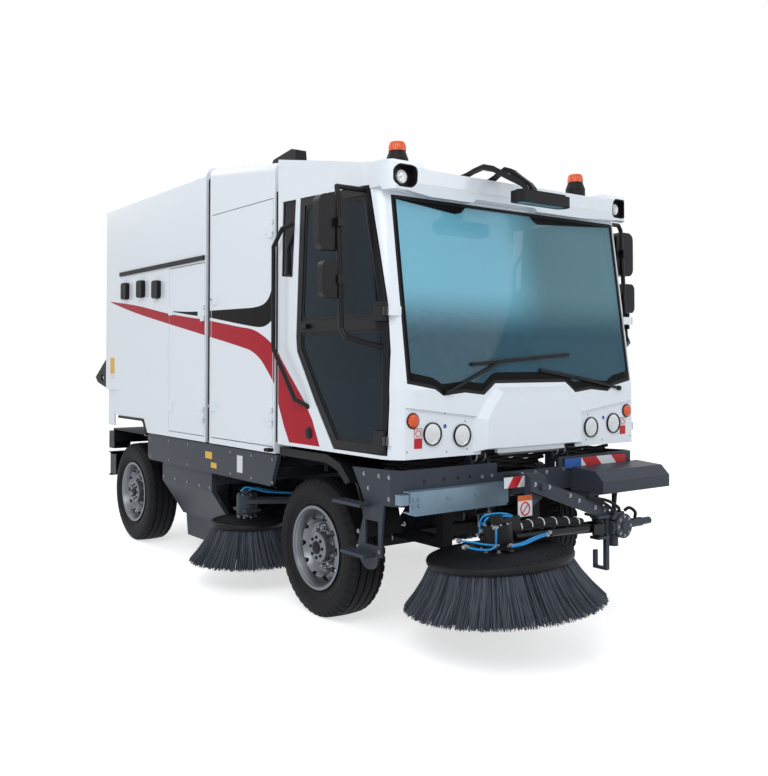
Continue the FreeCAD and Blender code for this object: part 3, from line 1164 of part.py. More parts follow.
def front_arm_upper():
    """Sloping plate, end post with the swing pin, the round actuator beyond it and the guard bow."""
    f = FRONT_ARM
    x, y1 = f["x"], f["y1"]
    x0, x1 = x - ARM_T / 2, x + ARM_T / 2
    pts = [(f["y0"] - 90, f["z0"] + 61), (f["y0"] - 93, f["z0"] - 15), (y1 - 104, YOKE_Z + 71),
           (y1 - 5, YOKE_Z + 71), (y1 - 5, YOKE_Z + 90), (y1 - 58, YOKE_Z + 145)]
    bar = prism_x(pts, x0, x1).cut(rod((x0 - 5, f["y0"], f["z0"]), (x1 + 5, f["y0"], f["z0"]), PIVOT_R))
    post = box(x0, x1, y1 - 18, y1 + 12, POST_Z, f["z1"] + 20)
    foot = box(x - 90, x + ARM_T / 2, y1 - 18, y1 + 12, POST_Z, POST_Z + 16)
    stay = box(x - 90, x - 74, y1 - 18, y1 + 12, POST_Z, POST_Z + 110)
    lugs = [box(x - 34, x + 34, POST_Y - 34, y1 - 10, z, z + 16) for z in (YOKE_Z - 71, YOKE_Z + 55)]
    pin = rod((x, POST_Y, YOKE_Z - 71), (x, POST_Y, YOKE_Z + 71), POST_R - RUN)
    y2 = y1 + 12
    xm, ym = x + 20, y2 + 98          # the motor sits a little forward, clear of the cover
    actuator = [rod((x, y2, 590), (x, ym, 590), 46), rod((x - 22, ym, 594), (x + 50, ym, 594), 76),
                rod((x + 50, ym, 594), (x + 58, ym, 594), 24),
                rod((xm, ym, 598), (xm, y2 + 300, 598), 28), rod((xm, y2 + 300, 598), (xm, y2 + 383, 598), 22),
                rod((x - 5, y2 + 60, 470), (x - 5, y2 + 60, 590), 30),
                box(x - 20, x + 40, y2, y2 + 110, 640, 682)]
    return fuse([bar, post, foot, stay, pin] + lugs + actuator)


write("front_arm_upper", front_arm_upper())


def front_arm_yoke():
    x = FRONT_ARM["x"]
    sleeve = rod((x, POST_Y, YOKE_Z - 49), (x, POST_Y, YOKE_Z + 49), 34)
    ears = [box(x - 52, x - 36, LIFT_Y - 24, POST_Y, YOKE_Z - 30, YOKE_Z + 30),
            box(x + 36, x + 52, LIFT_Y - 24, POST_Y, YOKE_Z - 30, YOKE_Z + 30)]
    web = box(x - 52, x + 52, POST_Y - 22, POST_Y, YOKE_Z - 30, YOKE_Z + 30)
    s = fuse([sleeve, web] + ears)
    s = s.cut(rod((x, POST_Y, YOKE_Z - 60), (x, POST_Y, YOKE_Z + 60), POST_R))
    return s.cut(rod((x - 60, LIFT_Y, YOKE_Z), (x + 60, LIFT_Y, YOKE_Z), LIFT_R))


write("front_arm_yoke", front_arm_yoke())
FB_SHAFT = FRONT_BRUSH["z_disc"] + 125.0           # top of the front brush's shaft


def tipped(shape):
    """Lean the head of the front brush to the right and rear about its disc's middle."""
    s = shape.copy()
    s.rotate(V(FRONT_BRUSH["x"], FRONT_BRUSH["y"], FRONT_BRUSH["z_disc"]), V(1, -1, 0), math.degrees(TIPPED))
    return s


def front_arm_lower():
    """Lift eye, arm with its hose bundle, and the brush head with motor and bracket."""
    x, b = FRONT_ARM["x"], FRONT_BRUSH
    eye = rod((x - 30, LIFT_Y, YOKE_Z), (x + 30, LIFT_Y, YOKE_Z), 24)
    pin = rod((x - 52, LIFT_Y, YOKE_Z), (x + 52, LIFT_Y, YOKE_Z), LIFT_R - RUN)
    bar = beam((x, LIFT_Y - 10, YOKE_Z), (b["x"], b["y"] + 60, FB_SHAFT), 50, 44)
    tubes = [pipe([(x - 20, LIFT_Y - 60, YOKE_Z + 40), (x - 10, LIFT_Y - 255, YOKE_Z + 62),
                   (x, LIFT_Y - 475, YOKE_Z + 78),
                   (x, b["y"] + 60, YOKE_Z + 72)], 26),
             rod((x + 45, LIFT_Y - 80, YOKE_Z + 15), (x + 40, b["y"] + 60, YOKE_Z + 30), 20)]
    z0 = b["z_disc"] + b["t"] + 12
    head = [rod((b["x"], b["y"], z0 + 6), (b["x"], b["y"], z0 + 128), 88),
            box(b["x"] - 60, b["x"] + 60, b["y"] - 20, b["y"] + 130, FB_SHAFT - 20, z0 + 158),
            box(b["x"] - 130, b["x"] + 130, b["y"] - 60, b["y"] + 40, z0, z0 + 18),
            rod((b["x"] + 20, b["y"] - 20, z0 + 118), (b["x"] + 20, b["y"] - 20, z0 + 180), 40)]
    hole = rod((b["x"], b["y"], b["z_disc"]), (b["x"], b["y"], FB_SHAFT + 5), SHAFT_R)
    return fuse([eye, pin, bar] + tubes).fuse(tipped(fuse(head))).cut(tipped(hole))


write("front_arm_lower", front_arm_lower())
write("front_brush", tipped(brush(FRONT_BRUSH, FB_SHAFT)))
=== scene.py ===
import json
import math
import random

import bmesh
import bpy
from mathutils import Matrix, Vector


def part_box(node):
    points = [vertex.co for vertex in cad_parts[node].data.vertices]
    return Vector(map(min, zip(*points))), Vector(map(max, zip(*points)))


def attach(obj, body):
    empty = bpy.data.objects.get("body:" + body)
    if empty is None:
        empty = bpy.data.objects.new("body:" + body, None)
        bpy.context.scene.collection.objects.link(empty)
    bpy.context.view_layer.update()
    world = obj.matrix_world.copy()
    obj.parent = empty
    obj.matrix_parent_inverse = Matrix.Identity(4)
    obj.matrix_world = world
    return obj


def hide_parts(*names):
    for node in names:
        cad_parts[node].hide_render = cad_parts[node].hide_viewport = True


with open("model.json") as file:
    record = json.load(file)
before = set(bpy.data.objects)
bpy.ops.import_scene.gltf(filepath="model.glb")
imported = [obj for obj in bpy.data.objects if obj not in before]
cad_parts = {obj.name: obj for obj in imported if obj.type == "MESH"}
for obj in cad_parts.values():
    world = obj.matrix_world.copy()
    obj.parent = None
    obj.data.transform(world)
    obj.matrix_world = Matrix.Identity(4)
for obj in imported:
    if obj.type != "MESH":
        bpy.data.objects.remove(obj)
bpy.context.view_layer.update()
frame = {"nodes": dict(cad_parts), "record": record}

SCENE = bpy.context.scene
SCENE.view_settings.view_transform = "Standard"
NODES = frame["nodes"]
X, Y, Z = Vector((1, 0, 0)), Vector((0, 1, 0)), Vector((0, 0, 1))
SIDES = (("right", -1), ("left", 1))


def centre(name):
    lo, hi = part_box(name)
    return (Vector(lo) + Vector(hi)) / 2


AXLE = centre("tyre_front_right").x          # front axle, the zero of the drawing's lengths
HALF = 1075.0                                # half the width over the panels, mm
FRONT_X, CORNER_R = 895.0, 145.0             # the cab's front face below the waist, and its upright corners
WAIST_Z, LEAN = 1450.0, 0.1355               # above the waist the front leans back by this share
REAR_AXLE = -2933.0
FILM = 0.0006                                # thickness of films and blank labels, m


def W(x, y, z):
    """A drawing point in millimetres (x from the front axle) as a place in the frame."""
    return Vector((x / 1000 + AXLE, y / 1000, z / 1000))


# ---------------------------------------------------------------- camera
EYE = (4695.5, -4154.7, 1612.2)
YAW, PITCH, ROLL = 2.5257, 0.0231, 0.0016
SENSOR, LENS, SHIFT = 36, 41.3833, (0.059278, -0.061856)


def camera():
    """A camera at the studio's viewing angle, with its middle shifted."""
    fwd = Vector((math.cos(PITCH) * math.cos(YAW), math.cos(PITCH) * math.sin(YAW), math.sin(PITCH)))
    level = Vector((math.sin(YAW), -math.cos(YAW), 0))
    plumb = level.cross(fwd)
    right = level * math.cos(ROLL) + plumb * math.sin(ROLL)
    up = plumb * math.cos(ROLL) - level * math.sin(ROLL)
    cam = bpy.data.cameras.new("view")
    o = bpy.data.objects.new("view", cam)
    SCENE.collection.objects.link(o)
    m = Matrix((right, up, -fwd)).transposed().to_4x4()
    m.translation = W(*EYE)
    o.matrix_world = m
    cam.sensor_width = SENSOR
    cam.lens = LENS
    cam.shift_x, cam.shift_y = SHIFT
    cam.clip_end = 200
    SCENE.camera = o


camera()


# ---------------------------------------------------------------- materials
def node(m, kind, inputs=(), **settings):
    """A new shader node; each input is a (socket, number or linked socket) pair."""
    made = m.node_tree.nodes.new("ShaderNode" + kind)
    for key, value in settings.items():
        setattr(made, key, value)
    for key, value in inputs:
        if isinstance(value, bpy.types.NodeSocket):
            m.node_tree.links.new(value, made.inputs[key])
        else:
            made.inputs[key].default_value = value
    return made


def mixed(m, factor, a, b, blend="MIX"):
    """Two colours blended by a factor."""
    inputs = (("Factor", factor), ("A", a), ("B", b))
    return node(m, "Mix", inputs, data_type="RGBA", blend_type=blend).outputs["Result"]


def maths(m, op, *values):
    """A chain of one operation over numbers and sockets."""
    out = values[0]
    for v in values[1:]:
        out = node(m, "Math", ((0, out), (1, v)), operation=op).outputs[0]
    return out


def shader(m):
    return m.node_tree.nodes["Principled BSDF"].inputs


def finish(name, base, rough=0.5, metal=0.0, vary=0.06, vary_scale=2.0, grain=60.0, grain_amount=0.0,
           rough_vary=0.08, coat=0.0, coat_rough=0.05, spec=0.5, dirt=None, bump=0.0, bump_scale=200.0,
           sheen=0.0, stretch=(1, 1, 1)):
    """A painted, cast or moulded finish: colour variation, fine grain, roughness variation and relief."""
    m = bpy.data.materials.new(name)
    m.use_nodes = True
    for key, value in (("Metallic", metal), ("Specular IOR Level", spec), ("Coat Weight", coat),
                       ("Coat Roughness", coat_rough), ("Sheen Weight", sheen)):
        shader(m)[key].default_value = value
    place = node(m, "TexCoord").outputs["Object"]
    mapped = node(m, "Mapping", (("Scale", stretch), ("Vector", place))).outputs[0]

    def noise(scale, detail):
        inputs = (("Scale", scale), ("Detail", detail), ("Vector", mapped))
        return node(m, "TexNoise", inputs).outputs["Fac"]

    big, fine = noise(vary_scale, 6), noise(grain, 3)
    colour = mixed(m, big, [c * (1 - vary) for c in base] + [1],
                   [min(1.0, c * (1 + vary)) for c in base] + [1])
    if grain_amount:
        colour = mixed(m, grain_amount, colour, fine, "MULTIPLY")
    if dirt:
        # road film that fades out above a height, broken up by noise
        z0, z1, amount, tint = dirt
        height = node(m, "SeparateXYZ", ((0, place),)).outputs["Z"]
        fade = node(m, "MapRange", (("From Min", z0), ("From Max", z1), ("To Min", amount),
                                    ("To Max", 0.0), ("Value", height))).outputs[0]
        colour = mixed(m, maths(m, "MULTIPLY", fade, big), colour, list(tint) + [1])
    swing = node(m, "MapRange", (("To Min", max(0.02, rough - rough_vary)),
                                 ("To Max", min(1.0, rough + rough_vary)), ("Value", fine)))
    m.node_tree.links.new(colour, shader(m)["Base Color"])
    m.node_tree.links.new(swing.outputs[0], shader(m)["Roughness"])
    if bump:
        relief = node(m, "Bump", (("Strength", bump), ("Distance", 0.001), ("Height", noise(bump_scale, 4))))
        m.node_tree.links.new(relief.outputs[0], shader(m)["Normal"])
    return m


def see_through(m, alpha):
    shader(m)["Alpha"].default_value = alpha
    m.surface_render_method = "BLENDED"
    return m


def glass(name, tint, alpha, spec=0.35):
    """Thin tinted glazing: mostly clear, with a faint film of dust that varies over the pane."""
    return see_through(finish(name, tint, 0.02, 0, 0.1, 1.5, 30, 0, 0.01, spec=spec), alpha)


def white_paint(name):
    return finish(name, (0.82, 0.868, 0.925), 0.26, 0, 0.010, 1.2, 12, 0, 0.03, coat=0.5, coat_rough=0.06,
                  dirt=(0.9, 1.35, 0.05, (0.45, 0.42, 0.38)))


def film_look(name, colour, spec=0.3):
    """Reflective film with a fine grain."""
    return finish(name, colour, 0.35, 0, 0.05, 30, 400, 0.08, 0.06, spec=spec)


def lens_look(name, colour, stretch=(1, 1, 1)):
    """Coloured, finely ribbed lamp plastic."""
    return finish(name, colour, 0.16, 0, 0.12, 30, 60, 0, 0.04, coat=0.3, spec=0.35, bump=0.3, bump_scale=90,
                  stretch=stretch)


WHITE = white_paint("white_gloss_paint")
RED = finish("red_gloss_film", (0.43, 0.009, 0.024), 0.30, 0, 0.05, 2, 40, 0, 0.05, coat=0.02, spec=0.10)
BLACK_FILM = finish("black_gloss_film", (0.003, 0.003, 0.004), 0.35, 0, 0.1, 2, 40, 0, 0.05, spec=0.06)
GREY = finish("slate_grey_paint", (0.044, 0.052, 0.070), 0.42, 0, 0.10, 2, 90, 0.12, 0.08, spec=0.16,
              bump=0.06, bump_scale=420, dirt=(0.1, 1.0, 0.08, (0.11, 0.11, 0.12)))
GREY_DARK = finish("dark_chassis_paint", (0.013, 0.014, 0.018), 0.55, 0, 0.16, 3, 90, 0.18, 0.1, spec=0.2,
                   bump=0.12, bump_scale=300, dirt=(0.1, 1.0, 0.25, (0.06, 0.06, 0.06)))
BLACK = finish("black_powder_coat", (0.006, 0.006, 0.008), 0.38, 0, 0.15, 4, 120, 0.1, 0.1, spec=0.2,
               bump=0.1, bump_scale=600)
PLASTIC = finish("moulded_black_plastic", (0.007, 0.007, 0.009), 0.52, 0, 0.15, 5, 200, 0.15, 0.1, spec=0.2,
                 bump=0.22, bump_scale=900)
RUBBER = finish("tyre_rubber", (0.007, 0.007, 0.009), 0.68, 0, 0.18, 6, 150, 0.15, 0.1, spec=0.18, bump=0.2,
                bump_scale=500, dirt=(0.0, 0.5, 0.08, (0.06, 0.06, 0.06)))
ALU = finish("polished_aluminium", (0.17, 0.18, 0.20), 0.36, 0.9, 0.08, 6, 90, 0.08, 0.10, spec=0.3,
             bump=0.05, bump_scale=400)
ZINC = finish("galvanised_steel", (0.21, 0.30, 0.38), 0.45, 0.55, 0.14, 14, 60, 0.15, 0.12, spec=0.35,
              bump=0.06, bump_scale=120)
STEEL = finish("bare_steel", (0.30, 0.31, 0.33), 0.35, 1.0, 0.12, 10, 120, 0.12, 0.12, bump=0.08,
               bump_scale=400)
CAST = finish("cast_iron", (0.013, 0.013, 0.015), 0.62, 0.2, 0.2, 9, 120, 0.2, 0.12, spec=0.2, bump=0.35,
              bump_scale=260)
BRISTLE = finish("grey_bristles", (0.060, 0.073, 0.096), 0.55, 0, 0.25, 22, 90, 0.35, 0.12, spec=0.3,
                 stretch=(1, 1, 0.25))
AMBER = lens_look("amber_lens", (0.74, 0.085, 0.006), (1, 1, 3))
RED_LENS = lens_look("red_lens", (0.46, 0.008, 0.010))
BLUE = finish("blue_hose", (0.010, 0.28, 0.64), 0.36, 0, 0.08, 12, 90, 0, 0.06, coat=0.1, spec=0.3)
YELLOW = finish("yellow_film", (0.78, 0.45, 0.02), 0.4, 0, 0.05, 12, 90, 0, 0.06)
ORANGE_FILM = film_look("orange_reflective", (0.72, 0.13, 0.015))
WHITE_FILM = film_look("white_reflective", (0.76, 0.79, 0.83), 0.5)
RED_FILM = film_look("red_reflective", (0.52, 0.012, 0.018))
BLUE_FILM = film_look("blue_reflective", (0.02, 0.11, 0.42))
FABRIC = finish("woven_seat_fabric", (0.022, 0.024, 0.030), 0.88, 0, 0.2, 12, 900, 0.45, 0.06, spec=0.2,
                sheen=0.25, bump=0.6, bump_scale=1400)
VINYL = finish("grained_vinyl", (0.024, 0.026, 0.031), 0.6, 0, 0.1, 6, 400, 0.15, 0.08, spec=0.2, bump=0.4,
               bump_scale=700)
MIRROR = finish("mirror_glass", (0.62, 0.66, 0.70), 0.04, 1.0, 0.02, 3, 30, 0, 0.01)
BRIGHT = finish("lamp_reflector", (0.86, 0.87, 0.88), 0.12, 1.0, 0.03, 40, 60, 0, 0.05, bump=0.5,
                bump_scale=70)
PALE_RUBBER = finish("pale_bush_rubber", (0.55, 0.56, 0.55), 0.6, 0, 0.1, 20, 200, 0.1, 0.08, bump=0.1,
                     bump_scale=300)
BULB = finish("bulb_glass", (0.95, 0.93, 0.85), 0.08, 0, 0.02, 20, 60, 0, 0.02, coat=0.5)
DISPLAY = finish("dark_display", (0.01, 0.014, 0.02), 0.08, 0, 0.1, 8, 60, 0, 0.03, coat=0.7)
CLEAR = glass("clear_lens", (0.85, 0.88, 0.90), 0.30)
TINTED = glass("tinted_side_glass", (0.008, 0.020, 0.032), 0.86, spec=0.14)
CAB_INSIDE_SHADE = (0.020, 0.022, 0.028, 1)            # near-black painted shade on the cab's inner walls
# planes just inside the cab's walls, m: side, front, corner (x + y), roof and its slope, back
IN_SIDE, IN_FRONT, IN_CORNER, IN_ROOF, ROOF_SLOPE, IN_BACK = 1.045, 0.870, 1.850, 2.853, 0.2, -0.318
KNUCKLE = (0.006, 0.006, 0.008, 1)           # door hinge ears
# windscreen colours: the glass's tint with a painted reflection above, the reflection greyer to the left, and
# painted shade over the dash
SCREEN_TINT_AND_REFLECTION = (0.27, 0.72, 0.92)
SCREEN_LEFT_REFLECTION = (0.16, 0.36, 0.43, 1)
SCREEN_LOW_SHADE = (0.028, 0.125, 0.19, 1)
QUARTER_TINT = (0.004, 0.006, 0.009, 1)


def base_mix(m, factor, colour):
    """Put a second colour over a finish where the factor is 1."""
    base = shader(m)["Base Color"]
    old = base.links[0].from_socket
    m.node_tree.links.new(mixed(m, factor, old, colour), base)


def drawing_axes(m, name, signed=False):
    """Sockets of x from the front axle, |y| (or y) and z for a material on a CAD node."""
    lo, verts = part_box(name)[0], NODES[name].data.vertices
    place = node(m, "TexCoord").outputs["Object"]
    split = node(m, "SeparateXYZ", ((0, place),)).outputs
    x, y, z = [maths(m, "ADD", split[i], lo[i] - min(v.co[i] for v in verts) - zero)
               for i, zero in enumerate((AXLE, 0.0, 0.0))]
    return x, y if signed else maths(m, "MAXIMUM", y, maths(m, "MULTIPLY", y, -1.0)), z


def cab_paint(name, hinges):
    """White outside and painted shade inside (near-black on the inner walls), told apart by the drawing's
    planes; black hinge knuckles.
    """
    m = white_paint("cab_white_" + name)
    x, y, z = drawing_axes(m, name)
    lean = maths(m, "MULTIPLY", maths(m, "MAXIMUM", maths(m, "SUBTRACT", z, WAIST_Z / 1000), 0.0), LEAN)
    past = maths(m, "ADD", x, lean)
    roof = maths(m, "ADD", z, maths(m, "MULTIPLY", x, ROOF_SLOPE))
    inner = maths(m, "MULTIPLY", maths(m, "LESS_THAN", y, IN_SIDE), maths(m, "LESS_THAN", past, IN_FRONT),
                  maths(m, "LESS_THAN", maths(m, "ADD", past, y), IN_CORNER),
                  maths(m, "LESS_THAN", roof, IN_ROOF), maths(m, "GREATER_THAN", x, IN_BACK))
    # painted shade: the inner walls are coloured near-black
    base_mix(m, inner, CAB_INSIDE_SHADE)
    if hinges:
        base_mix(m, maths(m, "GREATER_THAN", y, (HALF + 0.3) / 1000), KNUCKLE)
    return m


def screen_look():
    """The cab's glass: the glass's tint with a painted reflection in light blue above, greyer to the left,
    painted shade dark over the dash, and black at the rear.
    """
    m = finish("windscreen_glass", SCREEN_TINT_AND_REFLECTION, 0.03, 0, 0.015, 0.8, 3, 0, 0.0, spec=0.35)
    x, y, z = drawing_axes(m, "cab_glass", True)
    # painted reflection greyer towards the left, painted shade darkening down towards the dash
    for value, a, b, colour in ((y, -0.15, 0.25, SCREEN_LEFT_REFLECTION), (z, 2.06, 1.74, SCREEN_LOW_SHADE)):
        fade = node(m, "MapRange", (("From Min", a), ("From Max", b), ("Value", value)),
                    interpolation_type="SMOOTHSTEP")
        base_mix(m, fade.outputs[0], colour)
    base_mix(m, maths(m, "LESS_THAN", x, 0.0), QUARTER_TINT)
    return see_through(m, 0.50)


LOOK = {
    "white_paint": WHITE, "grey_paint": GREY, "black_paint": BLACK, "galvanised": ZINC, "glass": screen_look(),
    "door_glass": TINTED, "black_plastic": PLASTIC, "amber": AMBER, "lamp_glass": CLEAR, "cast": CAST,
    "tyre": RUBBER, "rim": ALU, "seat": FABRIC, "bristle": BRISTLE, "board": GREY,
}
SLOT_OF = {p["node"]: p["material_slot"] for p in frame["record"]["subparts"]}
OWN_LOOK = {
    "rails": GREY_DARK, "frame_members": GREY_DARK, "dash": VINYL, "front_arm_lower": BLACK,
    "front_arm_yoke": BLACK, "cab_shell": cab_paint("cab_shell", True),
    "cab_front": cab_paint("cab_front", False),
}
for name, o in NODES.items():
    look = OWN_LOOK.get(name, LOOK[SLOT_OF[name]])
    for s in o.material_slots:
        s.material = look
    if not o.material_slots:
        o.data.materials.append(look)


# ---------------------------------------------------------------- mesh helpers
def outward(bm):
    bmesh.ops.recalc_face_normals(bm, faces=bm.faces)


def piece(name, bm, body, mats, smooth=35, replaces=None, turned=True):
    """Turn a bmesh into an object that rides on a body, with its faces turned outwards."""
    if turned:
        outward(bm)
    me = bpy.data.meshes.new(name)
    bm.to_mesh(me)
    bm.free()
    for m in mats if isinstance(mats, (list, tuple)) else [mats]:
        me.materials.append(m)
    o = bpy.data.objects.new(name, me)
    SCENE.collection.objects.link(o)
    if smooth:
        me.polygons.foreach_set("use_smooth", [True] * len(me.polygons))
        me.set_sharp_from_angle(angle=math.radians(smooth))
    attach(o, body)
    if replaces:
        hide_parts(*replaces)
    return o


def face(bm, verts, mat=0):
    bm.faces.new(verts).material_index = mat


def skin(bm, a, b, mat=0):
    """Quads between two closed rings of vertices."""
    for k in range(len(a)):
        j = (k + 1) % len(a)
        face(bm, [a[k], a[j], b[j], b[k]], mat)


def around(count, start=0.0):
    """Angles evenly spaced round a circle."""
    return [2 * math.pi * (k + start) / count for k in range(count)]


def add_box(bm, lo, hi, bevel=0.003, mat=0):
    """A bevelled block between two corners."""
    c, d = (lo + hi) / 2, hi - lo
    vs = bmesh.ops.create_cube(bm, size=1)["verts"]
    for v in vs:
        v.co = Vector((v.co.x * d.x, v.co.y * d.y, v.co.z * d.z)) + c
    faces = {f for v in vs for f in v.link_faces}
    for f in faces:
        f.material_index = mat
    b = bmesh.ops.bevel(bm, geom=list({e for f in faces for e in f.edges}), segments=2, affect="EDGES",
                        offset=min(bevel, min(abs(q) for q in d) * 0.45), profile=0.6)
    for f in b["faces"]:
        f.material_index = mat


def add_rod(bm, p, q, r, r2=None, seg=20, mat=0):
    """A cylinder or cone from p to q."""
    d = q - p
    m = Matrix.Translation((p + q) / 2) @ d.to_track_quat("Z", "Y").to_matrix().to_4x4()
    res = bmesh.ops.create_cone(bm, cap_ends=True, segments=seg, radius1=r, radius2=r if r2 is None else r2,
                                depth=d.length, matrix=m)
    for f in {f for v in res["verts"] for f in v.link_faces}:
        f.material_index = mat


def add_hex(bm, p, axis, r, h, mat=0, washer=True):
    """Bolt head with washer and a chamfered top."""
    axis = axis.normalized()
    if washer:
        add_rod(bm, p, p + axis * h * 0.25, r * 1.5, seg=16, mat=mat)
    add_rod(bm, p + axis * h * 0.2, p + axis * h * 0.85, r, seg=6, mat=mat)
    add_rod(bm, p + axis * h * 0.85, p + axis * h, r, r * 0.8, seg=6, mat=mat)


def add_lathe(bm, pts, origin, axis, seg=48, mat=0, closed=False, ring=None):
    """Turn (radius, height) points about an axis; ring(k, i, r, h) may change a point."""
    q = axis.to_track_quat("Z", "Y").to_matrix()
    rows = []
    for k in range(seg):
        a = 2 * math.pi * k / seg
        row = []
        for i, (r, h) in enumerate(pts):
            if ring:
                r, h = ring(k, i, r, h)
            row.append(bm.verts.new(origin + q @ Vector((r * math.cos(a), r * math.sin(a), h))))
        rows.append(row)
    n = len(pts)
    for k in range(seg):
        a, b = rows[k], rows[(k + 1) % seg]
        for i in range(n if closed else n - 1):
            j = (i + 1) % n
            face(bm, [a[i], b[i], b[j], a[j]], mat)


def add_torus(bm, origin, axis, r, t, seg=32, ring=8, mat=0):
    pts = [(r + t * math.cos(a), t * math.sin(a)) for a in around(ring)]
    add_lathe(bm, pts, origin, axis, seg, mat, closed=True)


def add_prism(bm, pts, off, mat=0):
    """Extrude a flat outline (list of Vectors) by a vector."""
    a = [bm.verts.new(p) for p in pts]
    b = [bm.verts.new(p + off) for p in pts]
    face(bm, a, mat)
    face(bm, b[::-1], mat)
    skin(bm, b, a, mat)


def smooth_route(pts, steps=8):
    """Catmull-Rom points through a rigid pipe's corners."""
    p = [pts[0] * 2 - pts[1]] + list(pts) + [pts[-1] * 2 - pts[-2]]
    out = []
    for i in range(1, len(p) - 2):
        a, b, c, d = p[i - 1:i + 3]
        for k in range(steps):
            t = k / steps
            out.append(0.5 * ((2 * b) + (c - a) * t + (2 * a - 5 * b + 4 * c - d) * t * t
                              + (3 * b - 3 * c + d - a) * t ** 3))
    out.append(p[-2])
    return out


def add_pipe(bm, pts, r, seg=10, mat=0):
    """A tube through points, with closed ends."""
    route = smooth_route(pts)
    prev = side = None
    for i, p in enumerate(route):
        d = (route[min(i + 1, len(route) - 1)] - route[max(i - 1, 0)]).normalized()
        if side is None:
            side = d.orthogonal().normalized()
        side = (side - d * side.dot(d)).normalized()
        up = d.cross(side)
        ring = [bm.verts.new(p + (side * math.cos(a) + up * math.sin(a)) * r) for a in around(seg)]
        if prev:
            skin(bm, prev, ring, mat)
        else:
            face(bm, ring[::-1], mat)
        prev = ring
    face(bm, prev, mat)


def rounded_plate(bm, mid, u, v, w, h, t, r=0.006, mat=0):
    """A flat plate with rounded corners: u and v are its directions, t its thickness along u x v."""
    n = u.cross(v).normalized()
    pts = []
    for cx, cy, a0 in ((1, 1, 0), (-1, 1, 90), (-1, -1, 180), (1, -1, 270)):
        for k in range(5):
            a = math.radians(a0 + 22.5 * k)
            pts.append(mid + u * (cx * (w / 2 - r) + r * math.cos(a))
                       + v * (cy * (h / 2 - r) + r * math.sin(a)))
    add_prism(bm, pts, n * t, mat)


# ---------------------------------------------------------------- wheels
TYRE_R, CROWN, GROOVE = 0.433, 0.0045, 0.012  # radius, fall of the tread at 100 mm out, depth of grooves


def tyre(name, c, out):
    """Road tyre with four zigzag grooves, shoulder notches and ribbed side walls."""
    flank = [(0.248, 0.098), (0.258, 0.106), (0.272, 0.112), (0.276, 0.1175), (0.284, 0.1175),
             (0.288, 0.116), (0.302, 0.1225), (0.320, 0.128), (0.323, 0.1305), (0.331, 0.1315),
             (0.334, 0.1300), (0.352, 0.1318), (0.372, 0.1305), (0.390, 0.1262), (0.402, 0.1215),
             (0.414, 0.1150), (0.424, 0.1085), (0.4285, 0.1030)]
    grooves = ((0.0865, 0), (0.0845, 1), (0.0755, 1), (0.0735, 0), (0.0335, 0), (0.0315, 1), (0.0225, 1),
               (0.0205, 0))
    side = flank + [(TYRE_R - CROWN * (y / 0.1) ** 2 - GROOVE * deep, y) for y, deep in grooves]
    inner = [(0.248, -0.078), (0.300, -0.108), (0.395, -0.108), (0.412, -0.085)]
    inner += [(r, -y) for r, y in reversed(inner)]
    first, n_side = len(flank), len(side)

    def ring(k, i, r, y):
        if i >= 2 * n_side:
            return r, y
        j = i if i < n_side else 2 * n_side - 1 - i
        s = 1 if i < n_side else -1
        if j >= first:                                    # zigzag of the grooves
            y += 0.0016 * (1 if (k // 4) % 2 else -1)
        if first - 4 <= j < first and k % 4 == 0:         # shoulder notches
            r -= 0.0075
            y -= s * 0.004
        return r, y

    bm = bmesh.new()
    add_lathe(bm, side + [(r, -y) for r, y in reversed(side)] + inner, c, Vector((0, out, 0)), 192,
              closed=True, ring=ring)
    piece("tread_" + name, bm, "wheel_" + name, RUBBER, 28, ["tyre_" + name])


def rim_detail(name, c, out):
    """Wheel nuts, hub cap with its bolts, valve, and the bright ring inside the flange."""
    bm = bmesh.new()
    o = Vector((0, out, 0))
    for a in around(10, 0.5):
        p = c + Vector((0.118 * math.cos(a), 0, 0.118 * math.sin(a))) + o * 0.040
        add_hex(bm, p, o, 0.0135, 0.030)
        add_rod(bm, p + o * 0.026, p + o * 0.036, 0.0075, seg=12)
    for a in around(8):
        p = c + Vector((0.064 * math.cos(a), 0, 0.064 * math.sin(a))) + o * 0.1115
        add_hex(bm, p, o, 0.0075, 0.009, mat=1)
    add_lathe(bm, [(0.0, 0.122), (0.030, 0.121), (0.040, 0.116), (0.042, 0.111)], c, o, 32, 1)
    v = c + Vector((0.205, 0, 0.02)) + o * 0.07
    add_rod(bm, v, v + o * 0.035 + Vector((-0.012, 0, 0)), 0.005, seg=10, mat=1)
    add_torus(bm, c + o * 0.108, o, 0.2405, 0.0035, 96, 8)
    piece("nuts_" + name, bm, "wheel_" + name, [STEEL, CAST], 35)


for end in ("front", "rear"):
    for side, s in SIDES:
        w = "%s_%s" % (end, side)
        tyre(w, centre("tyre_" + w), s)
        rim_detail(w, centre("tyre_" + w), s)


# ---------------------------------------------------------------- brushes
def add_bristle(bm, route, r0, r1, spin=0.0):
    """A three-sided tapered strand along a short route."""
    prev = None
    d = (route[-1] - route[0]).normalized()
    side = d.orthogonal().normalized()
    up = d.cross(side)
    for i, p in enumerate(route):
        r = r0 + (r1 - r0) * i / (len(route) - 1)
        ring = [bm.verts.new(p + (side * math.cos(spin + 2.0944 * k) + up * math.sin(spin + 2.0944 * k)) * r)
                for k in range(3)]
        if prev:
            skin(bm, prev, ring)
        prev = ring
    face(bm, prev)


